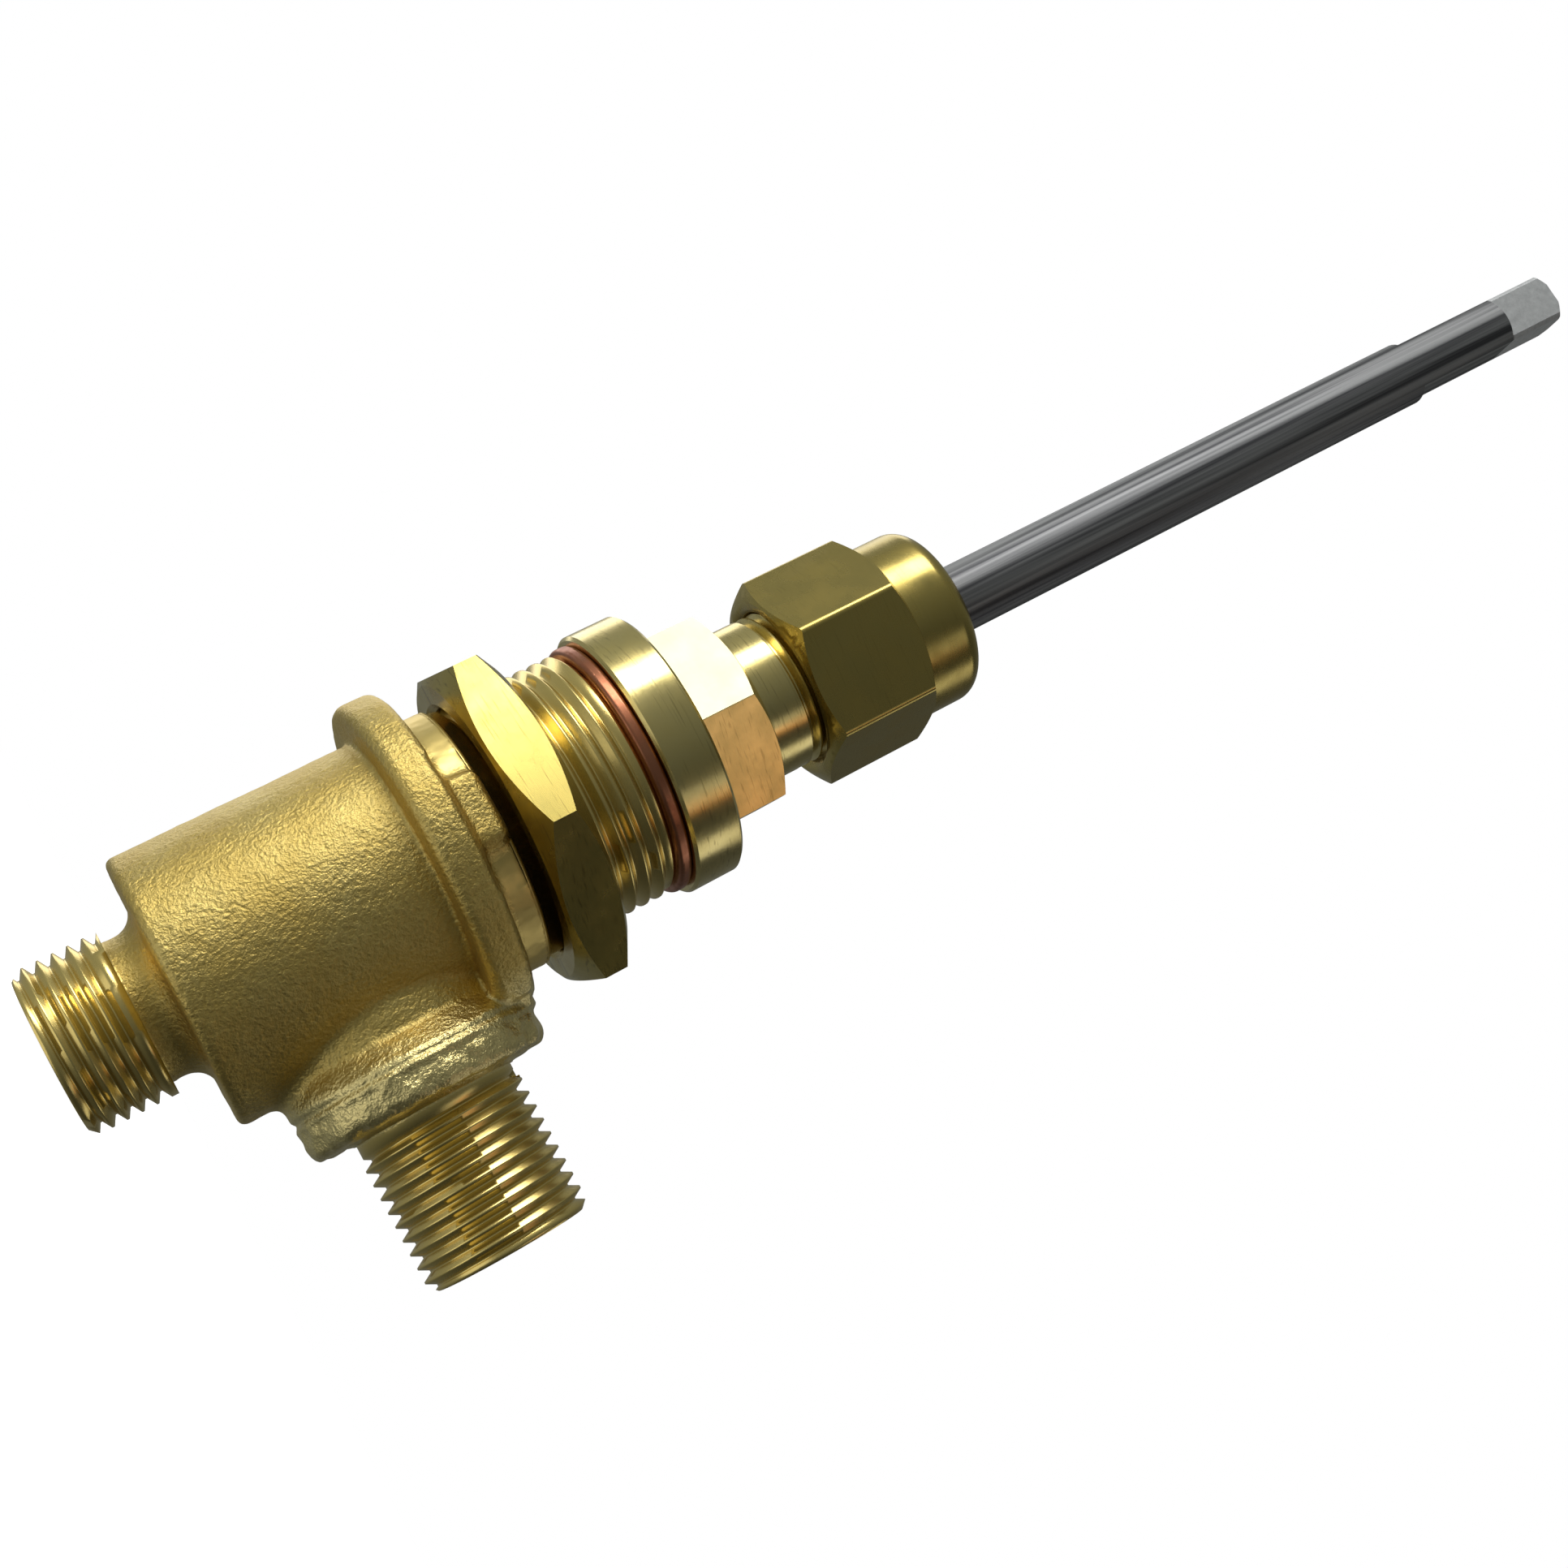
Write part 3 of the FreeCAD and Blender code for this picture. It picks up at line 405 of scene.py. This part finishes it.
def mask_over(tree, value, limit, soft=0.15 * MM):
    """A mask that is 1 where value is over limit, with a short soft edge."""
    return add_node(tree, "ShaderNodeMapRange", {
        "Value": value, "From Min": limit - soft, "From Max": limit + soft}).outputs["Result"]


def cut_masks(tree, axes):
    """(1 on everything cut by lathe, 1 on the land only)."""
    below = add_node(tree, "ShaderNodeMath", {0: axes.outputs["Z"], 1: -1.0}, operation="MULTIPLY")
    inlet = mask_over(tree, below.outputs[0], -INLET_CUT_END)
    outlet = mask_over(tree, axes.outputs["X"], OUTLET_CUT_START)
    panel = mask_over(tree, axes.outputs["Z"], PANEL_CUT_START)
    ends = add_node(tree, "ShaderNodeMath", {0: inlet, 1: outlet}, operation="MAXIMUM")
    past_flange = mask_over(tree, axes.outputs["Z"], LAND_CUT_START, LAND_EDGE)
    across = add_node(tree, "ShaderNodeMath", {0: axes.outputs["X"], 1: LUG_MIDDLE},
                      operation="SUBTRACT")
    far = add_node(tree, "ShaderNodeMath", {0: across.outputs[0]}, operation="ABSOLUTE")
    beside = mask_over(tree, far.outputs[0], LUG_HALF, LUG_EDGE)
    behind = mask_over(tree, axes.outputs["Y"], 0.0)
    clear = add_node(tree, "ShaderNodeMath", {0: beside, 1: behind}, operation="MAXIMUM")
    on_land = add_node(tree, "ShaderNodeMath", {0: past_flange, 1: panel}, operation="SUBTRACT")
    land = add_node(tree, "ShaderNodeMath", {0: on_land.outputs[0], 1: clear.outputs[0]},
                    operation="MULTIPLY")
    upper = add_node(tree, "ShaderNodeMath", {0: panel, 1: land.outputs[0]}, operation="MAXIMUM")
    cut = add_node(tree, "ShaderNodeMath", {0: ends.outputs[0], 1: upper.outputs[0]},
                   operation="MAXIMUM")
    return cut.outputs[0], land.outputs[0]


def cast_brass():
    material, tree, shader, place = new_material("sand_cast_brass", 0.4)
    axes = add_node(tree, "ShaderNodeSeparateXYZ", {0: place})
    cut, land = cut_masks(tree, axes)

    sand = add_node(tree, "ShaderNodeTexNoise", {
        "Vector": place, "Scale": per_mm(SAND_MM), "Detail": 3.0, "Roughness": 0.6})
    patches = add_node(tree, "ShaderNodeTexNoise", {
        "Vector": place, "Scale": per_mm(PATCH_MM), "Detail": 2.0, "Roughness": 0.5})
    skin = add_node(tree, "ShaderNodeMix", {
        "Factor": sand.outputs["Fac"], "A": linear("#a88c40"), "B": linear("#fbe79a")},
        data_type="RGBA")
    aged = add_node(tree, "ShaderNodeMix", {
        "Factor": patches.outputs["Fac"], "A": skin.outputs["Result"], "B": linear("#cfb05c")},
        data_type="RGBA")
    rim = mask_over(tree, axes.outputs["X"], FETTLED_FROM, RIM_EDGE)
    fettled = add_node(tree, "ShaderNodeMix", {
        "Factor": rim, "A": aged.outputs["Result"], "B": linear("#f0dc98")}, data_type="RGBA")
    colour = add_node(tree, "ShaderNodeMix", {
        "Factor": cut, "A": fettled.outputs["Result"], "B": linear("#e9cf80")}, data_type="RGBA")
    tree.links.new(colour.outputs["Result"], shader.inputs["Base Color"])

    rough_skin = add_node(tree, "ShaderNodeMapRange", {
        "Value": patches.outputs["Fac"], "To Min": 0.36, "To Max": 0.5})
    rough_rim = add_node(tree, "ShaderNodeMix", {
        "Factor": rim, "A": rough_skin.outputs["Result"], "B": 0.28}, data_type="FLOAT")
    rough_cut = add_node(tree, "ShaderNodeMix", {
        "Factor": land, "A": 0.27, "B": 0.42}, data_type="FLOAT")
    rough = add_node(tree, "ShaderNodeMix", {
        "Factor": cut, "A": rough_rim.outputs["Result"], "B": rough_cut.outputs["Result"]},
        data_type="FLOAT")
    tree.links.new(rough.outputs["Result"], shader.inputs["Roughness"])

    depth = add_node(tree, "ShaderNodeMapRange", {"Value": cut, "To Min": 1.0, "To Max": 0.04})
    bump = add_node(tree, "ShaderNodeBump", {
        "Strength": depth.outputs["Result"], "Distance": SAND_DEPTH, "Height": sand.outputs["Fac"]})
    tree.links.new(bump.outputs["Normal"], shader.inputs["Normal"])
    return material


sand_cast = cast_brass()
print("made", sand_cast.name)

# %% [markdown]
# ## Turned and milled brass
# The bonnet, the gland nut and the locknut are cut from drawn bar. A lathe tool leaves
# rings a few hundredths of a millimetre apart round the axis; they are drawn coarser
# here so that they show as fine lines. Handling adds a few scratches and a faint
# uneven tarnish. One flat of the bonnet's hexagon, the one that mirrors the key light, is
# made rougher and painted a pale cream: a painted highlight that stands in for the key's
# glare on it. The maker below gives each piece its own tone and its own wear.

# %% Turned and milled brass
RING_MM = 0.35
SCRATCH_MM = 1.6
SCRATCH_WAY = (0.5, 0.3, 0.9)
TARNISH_MM = 5.0
BONNET_HEX = (82.05 * MM, 91.6 * MM)
BONNET_FLAT_OUT = 12.5 * MM
FLAT_SLACK = 0.08 * MM
FLAT_EDGE = 0.04 * MM
# The hexagon flat that mirrors the key light towards the camera; it gets a painted highlight.
KEY_GLARE_FLAT_ANGLE = math.radians(244.1)
KEY_GLARE_FLAT_WAY = (math.cos(KEY_GLARE_FLAT_ANGLE), math.sin(KEY_GLARE_FLAT_ANGLE), 0.0)
FINE_EDGE = 0.05 * MM


def roughen_and_paint_highlit_flat(tree, place, axes, tarnish, colour, rough):
    """Roughen the one flat of the bonnet's hexagon that mirrors the key light, and paint it pale
    cream: a painted highlight.
    """
    side = add_node(tree, "ShaderNodeVectorMath", {0: place, 1: KEY_GLARE_FLAT_WAY},
                    operation="DOT_PRODUCT")
    on_side = mask_over(tree, side.outputs["Value"], BONNET_FLAT_OUT - FLAT_SLACK, FLAT_EDGE)
    above = mask_over(tree, axes.outputs["Z"], BONNET_HEX[0], FINE_EDGE)
    over = mask_over(tree, axes.outputs["Z"], BONNET_HEX[1], FINE_EDGE)
    hexagon = add_node(tree, "ShaderNodeMath", {0: above, 1: over}, operation="SUBTRACT")
    flat = add_node(tree, "ShaderNodeMath", {0: hexagon.outputs[0], 1: on_side},
                    operation="MULTIPLY")
    # Pale cream on the flat that mirrors the key: a painted highlight standing in for the key's
    # glare.
    painted_highlight_cream = add_node(tree, "ShaderNodeMix", {
        "Factor": tarnish.outputs["Fac"], "A": linear("#efe9c8"), "B": linear("#d9cf9c")},
        data_type="RGBA")
    colour_with_painted_highlight = add_node(tree, "ShaderNodeMix", {
        "Factor": flat.outputs[0], "A": colour.outputs["Result"], "B": painted_highlight_cream.outputs["Result"]},
        data_type="RGBA")
    dulled = add_node(tree, "ShaderNodeMix", {
        "Factor": flat.outputs[0], "A": rough.outputs["Result"], "B": 0.52}, data_type="FLOAT")
    return colour_with_painted_highlight, dulled


def bar_brass(name, light, dark, roughness, ring_depth, mark_strength, with_painted_highlight_flat=False):
    """Brass bar from light to dark tarnish, with rings and scratches of those strengths."""
    material, tree, shader, place = new_material(name, roughness)
    axes = add_node(tree, "ShaderNodeSeparateXYZ", {0: place})
    rings = add_node(tree, "ShaderNodeTexNoise", {
        "W": axes.outputs["Z"], "Scale": per_mm(RING_MM), "Detail": 2.0}, noise_dimensions="1D")
    tarnish = add_node(tree, "ShaderNodeTexNoise", {
        "Vector": place, "Scale": per_mm(TARNISH_MM), "Detail": 4.0, "Roughness": 0.62})
    base = add_node(tree, "ShaderNodeMix", {
        "Factor": tarnish.outputs["Fac"], "A": linear(light), "B": linear(dark)}, data_type="RGBA")

    stretched = add_node(tree, "ShaderNodeMapping", {
        "Vector": place, "Rotation": SCRATCH_WAY,
        "Scale": (per_mm(SCRATCH_MM * 6), per_mm(SCRATCH_MM), per_mm(SCRATCH_MM * 0.12))})
    marks = add_node(tree, "ShaderNodeTexNoise", {
        "Vector": stretched.outputs[0], "Scale": 1.0, "Detail": 1.0})
    scratched = add_node(tree, "ShaderNodeMapRange", {
        "Value": marks.outputs["Fac"], "From Min": 0.62, "From Max": 0.7, "To Max": mark_strength})
    colour = add_node(tree, "ShaderNodeMix", {
        "Factor": scratched.outputs["Result"], "A": base.outputs["Result"], "B": linear("#5e4d20")},
        data_type="RGBA")
    rough = add_node(tree, "ShaderNodeMapRange", {
        "Value": tarnish.outputs["Fac"], "From Min": 0.3, "From Max": 0.7,
        "To Min": roughness * 0.8, "To Max": roughness * 1.25})
    if with_painted_highlight_flat:
        # The flat that mirrors the key gets a rougher finish and a painted highlight in pale cream.
        colour, rough = roughen_and_paint_highlit_flat(tree, place, axes, tarnish, colour, rough)
    tree.links.new(colour.outputs["Result"], shader.inputs["Base Color"])
    tree.links.new(rough.outputs["Result"], shader.inputs["Roughness"])
    bump = add_node(tree, "ShaderNodeBump", {
        "Strength": ring_depth, "Distance": 0.02 * MM, "Height": rings.outputs["Fac"]})
    tree.links.new(bump.outputs["Normal"], shader.inputs["Normal"])
    return material


milled_nut = bar_brass("milled_brass_worn", "#cdbb6c", "#a9934b", 0.24, 0.1, 0.45)
turned_bonnet = bar_brass("turned_brass_bright", "#e9d796", "#d3bd72", 0.22, 0.35, 0.3,
                          with_painted_highlight_flat=True)
gland_brass = bar_brass("turned_brass_rounded", "#c6b26a", "#ae984f", 0.26, 0.25, 0.12)
inner_brass = bar_brass("turned_brass_inner", "#d6bc62", "#b89a48", 0.3, 0.3, 0.1)
print("made", milled_nut.name, turned_bonnet.name, gland_brass.name, inner_brass.name)

# %% [markdown]
# ## Annealed copper
# The sealing washer is soft copper, softened in a flame, so it is dull and blotched
# with pink and brown. It has no machining marks of its own.

# %% Annealed copper
BLOTCH_MM = 3.0


def annealed_copper():
    material, tree, shader, place = new_material("annealed_copper", 0.34)
    blotch = add_node(tree, "ShaderNodeTexNoise", {
        "Vector": place, "Scale": per_mm(BLOTCH_MM), "Detail": 5.0, "Roughness": 0.65})
    colour = add_node(tree, "ShaderNodeMix", {
        "Factor": blotch.outputs["Fac"], "A": linear("#cf8f6c"), "B": linear("#8a4a30")},
        data_type="RGBA")
    tree.links.new(colour.outputs["Result"], shader.inputs["Base Color"])
    rough = add_node(tree, "ShaderNodeMapRange", {
        "Value": blotch.outputs["Fac"], "From Min": 0.3, "From Max": 0.7,
        "To Min": 0.26, "To Max": 0.46})
    tree.links.new(rough.outputs["Result"], shader.inputs["Roughness"])
    bump = add_node(tree, "ShaderNodeBump", {
        "Strength": 0.3, "Distance": 0.05 * MM, "Height": blotch.outputs["Fac"]})
    tree.links.new(bump.outputs["Normal"], shader.inputs["Normal"])
    return material


copper = annealed_copper()
print("made", copper.name)

# %% [markdown]
# ## Ground steel
# The spindle is a ground steel bar with a satin finish. Its grinding marks run along its
# length as long streaks, and it shows one broad highlight. The streaks swing from dark to
# pale grey far more than grinding alone would: they are in part painted reflection lines,
# standing in for the light and dark bands a round bar mirrors. The square at its end was
# milled later: a mask from the height turns it paler and mottled. The small fittings inside
# are drawn in the same steel, and their mask starts above them all, so none gets a square.

# %% Ground steel
SQUARE_START = 223.7 * MM
STREAK_MM = 0.9
STREAK_STRETCH = 90
MOTTLE_MM = 1.1


def bar_steel(name, square_start):
    """Ground bar, milled above square_start."""
    material, tree, shader, place = new_material(name, 0.2)
    axes = add_node(tree, "ShaderNodeSeparateXYZ", {0: place})
    square = mask_over(tree, axes.outputs["Z"], square_start)
    along = add_node(tree, "ShaderNodeMapping", {
        "Vector": place,
        "Scale": (per_mm(STREAK_MM), per_mm(STREAK_MM), per_mm(STREAK_MM * STREAK_STRETCH))})
    streaks = add_node(tree, "ShaderNodeTexNoise", {
        "Vector": along.outputs[0], "Scale": 1.0, "Detail": 3.0})
    # The strong swing from dark to pale grey paints long light and dark lines: painted reflection
    # lines on top of real grinding marks.
    painted_reflection_lines = add_node(tree, "ShaderNodeMapRange", {
        "Value": streaks.outputs["Fac"], "From Min": 0.35, "From Max": 0.65})
    mottle = add_node(tree, "ShaderNodeTexNoise", {
        "Vector": place, "Scale": per_mm(MOTTLE_MM), "Detail": 3.0, "Roughness": 0.7})
    # Dark to pale grey along the streaks: in part real grinding marks, in part painted reflection
    # lines.
    rod = add_node(tree, "ShaderNodeMix", {
        "Factor": painted_reflection_lines.outputs["Result"], "A": linear("#505052"), "B": linear("#a0a0a0")},
        data_type="RGBA")
    flat = add_node(tree, "ShaderNodeMix", {
        "Factor": mottle.outputs["Fac"], "A": linear("#bdbdbd"), "B": linear("#f6f6f6")},
        data_type="RGBA")
    colour = add_node(tree, "ShaderNodeMix", {
        "Factor": square, "A": rod.outputs["Result"], "B": flat.outputs["Result"]}, data_type="RGBA")
    tree.links.new(colour.outputs["Result"], shader.inputs["Base Color"])
    rod_rough = add_node(tree, "ShaderNodeMapRange", {
        "Value": streaks.outputs["Fac"], "From Min": 0.3, "From Max": 0.7,
        "To Min": 0.5, "To Max": 0.6})
    rough = add_node(tree, "ShaderNodeMix", {
        "Factor": square, "A": rod_rough.outputs["Result"], "B": 0.52}, data_type="FLOAT")
    tree.links.new(rough.outputs["Result"], shader.inputs["Roughness"])
    streak_bump = add_node(tree, "ShaderNodeBump", {
        "Strength": 0.12, "Distance": 0.02 * MM, "Height": streaks.outputs["Fac"]})
    depth = add_node(tree, "ShaderNodeMath", {0: square, 1: 0.5}, operation="MULTIPLY")
    bump = add_node(tree, "ShaderNodeBump", {
        "Strength": depth.outputs[0], "Distance": 0.05 * MM, "Height": mottle.outputs["Fac"],
        "Normal": streak_bump.outputs["Normal"]})
    tree.links.new(bump.outputs["Normal"], shader.inputs["Normal"])
    return material


ABOVE_ALL = 1.0
spindle_steel = bar_steel("ground_polished_steel", SQUARE_START)
fitting_steel = bar_steel("turned_stainless_steel", ABOVE_ALL)
print("made", spindle_steel.name, fitting_steel.name)

# %% [markdown]
# ## Soft inner materials
# Nothing of the packing and the seal shows from outside, but each gets its real
# finish: moulded rubber is dull and slightly grey, pressed graphite has a faint sheen.

# %% Rubber and graphite
def dark_moulding(name, low, high, roughness, grain_mm):
    material, tree, shader, place = new_material(name, roughness, metallic=0.0)
    grain = add_node(tree, "ShaderNodeTexNoise", {
        "Vector": place, "Scale": per_mm(grain_mm), "Detail": 3.0})
    colour = add_node(tree, "ShaderNodeMix", {
        "Factor": grain.outputs["Fac"], "A": linear(low), "B": linear(high)}, data_type="RGBA")
    tree.links.new(colour.outputs["Result"], shader.inputs["Base Color"])
    bump = add_node(tree, "ShaderNodeBump", {
        "Strength": 0.4, "Distance": 0.05 * MM, "Height": grain.outputs["Fac"]})
    tree.links.new(bump.outputs["Normal"], shader.inputs["Normal"])
    return material


rubber = dark_moulding("moulded_rubber", "#1b1b1b", "#2c2c2b", 0.6, 0.4)
graphite = dark_moulding("pressed_graphite", "#242427", "#3d3d42", 0.42, 0.7)
print("made", rubber.name, graphite.name)

# %% Give every piece its finish
finishes = {
    "valve_body": sand_cast, "panel_locknut": milled_nut, "bonnet": turned_bonnet,
    "gland_nut": gland_brass, "copper_washer": copper, "spindle": spindle_steel,
    "seat_ring": inner_brass, "disc_holder": inner_brass, "spring_follower": inner_brass,
    "packing_base_ring": inner_brass, "gland_follower": inner_brass,
    "disc_washer": fitting_steel, "disc_screw": fitting_steel, "relief_spring": fitting_steel,
    "guide_key": fitting_steel, "thrust_ball": fitting_steel,
    "seal_disc": rubber, "packing_ring_1": graphite, "packing_ring_2": graphite,
    "packing_ring_3": graphite}
for name, piece in nodes.items():
    piece.data.materials.clear()
    piece.data.materials.append(finishes[name])
own_pieces = ((cut_piece, sand_cast), (cast_piece, sand_cast), (gland_piece, gland_brass),
              (lower_spring, fitting_steel), (upper_spring, fitting_steel))
for piece, finish in own_pieces:
    piece.data.materials.clear()
    piece.data.materials.append(finish)
print("painted", len(finishes))

# %% [markdown]
# ## Floor and light
# A pale floor lies just under the inlet. It throws no shadow, so that a light below it
# can reach the undersides, as light off a white table does. One large soft light, the
# key, hangs on the side away from the outlet and gives the pale band on every round
# piece. The edge light stands behind it and draws the far outline. Two weak ones lift
# the outlet's side, the bounce lights the undersides, and a small warm card gives one
# flat of the bonnet its orange glow. A picture of a room could light the metal too, but
# lights with names can be moved one by one. The sky that the metal mirrors is dim, so
# the shaded sides stay dark, and the backdrop is white.

# %% Floor
FLOOR_REACH = 6.0
FLOOR_LEVEL = -0.5 * MM
FIBRE_MM = 4.0
corners_xy = [(-1, -1), (1, -1), (1, 1), (-1, 1)]
floor_mesh = bpy.data.meshes.new("floor")
floor_mesh.from_pydata(
    [(x * FLOOR_REACH, y * FLOOR_REACH, FLOOR_LEVEL) for x, y in corners_xy], [], [(0, 1, 2, 3)])
floor = bpy.data.objects.new("floor", floor_mesh)
bpy.context.scene.collection.objects.link(floor)
paper, paper_tree, paper_shader, paper_place = new_material("pale_paper", 0.9, metallic=0.0)
fibre = add_node(paper_tree, "ShaderNodeTexNoise", {
    "Vector": paper_place, "Scale": per_mm(FIBRE_MM), "Detail": 3.0})
paper_colour = add_node(paper_tree, "ShaderNodeMix", {
    "Factor": fibre.outputs["Fac"], "A": linear("#f4f4f4"), "B": linear("#ffffff")},
    data_type="RGBA")
paper_tree.links.new(paper_colour.outputs["Result"], paper_shader.inputs["Base Color"])
paper_shader.inputs["Emission Color"].default_value = (1.0, 1.0, 1.0, 1.0)
paper_shader.inputs["Emission Strength"].default_value = 1.0
floor_mesh.materials.append(paper)
floor.visible_glossy = False
floor.visible_diffuse = False
floor.visible_shadow = False
print("floor at", FLOOR_LEVEL)

# %% World
LIT_SIDE = 0.34
DARK_SIDE = 0.045
ROOM_TINT = (0.93, 1.0, 0.97, 1.0)
world = bpy.data.worlds.new("studio")
bpy.context.scene.world = world
world.use_nodes = True
sky = world.node_tree
sky.nodes.clear()
ray = add_node(sky, "ShaderNodeLightPath")
direction = add_node(sky, "ShaderNodeTexCoord").outputs["Generated"]
sides = add_node(sky, "ShaderNodeSeparateXYZ", {0: direction})
fall = add_node(sky, "ShaderNodeMapRange", {
    "Value": sides.outputs["X"], "From Min": -1.0, "From Max": 0.8,
    "To Min": LIT_SIDE, "To Max": DARK_SIDE})
room = add_node(sky, "ShaderNodeBackground", {
    "Color": ROOM_TINT, "Strength": fall.outputs["Result"]})
backdrop = add_node(sky, "ShaderNodeBackground", {"Color": (1.0, 1.0, 1.0, 1.0), "Strength": 1.0})
seen = add_node(sky, "ShaderNodeMixShader", {
    0: ray.outputs["Is Camera Ray"], 1: room.outputs[0], 2: backdrop.outputs[0]})
add_node(sky, "ShaderNodeOutputWorld", {"Surface": seen.outputs[0]})
bpy.context.scene.view_settings.view_transform = "Standard"
print("world made")

# %% Lights
middle = Vector((0.0, 0.0, 0.1))
WARM = (1.0, 0.36, 0.03)


def soft_light(name, towards, distance, width, height, brightness, colour=(1.0, 1.0, 1.0)):
    """A rectangle of light that faces the valve's middle, with the brightness a mirror shows."""
    data = bpy.data.lights.new(name, "AREA")
    data.shape = "RECTANGLE"
    data.size = width
    data.size_y = height
    data.energy = brightness * math.pi * width * height
    data.color = colour
    light = bpy.data.objects.new(name, data)
    way = Vector(towards).normalized()
    light.location = middle + way * distance
    light.rotation_euler = way.to_track_quat("Z", "Y").to_euler()
    bpy.context.scene.collection.objects.link(light)


soft_light("key", (-0.78, -0.54, 0.32), 0.6, width=0.22, height=0.5, brightness=6.5)
soft_light("edge", (-0.72, 0.7, 0.25), 0.6, width=0.26, height=0.6, brightness=1.5)
soft_light("low_fill", (0.72, -0.5, 0.3), 0.7, width=0.2, height=0.5, brightness=0.45)
soft_light("low_rim", (0.93, 0.25, 0.32), 0.7, width=0.22, height=0.5, brightness=0.8)
soft_light("bounce", (-0.25, -0.35, -0.9), 0.5, width=0.4, height=0.4, brightness=0.6)
soft_light("warm_card", (0.842, -0.446, 0.305), 0.5, width=0.09, height=0.12, brightness=0.5,
           colour=WARM)
print("lights made")
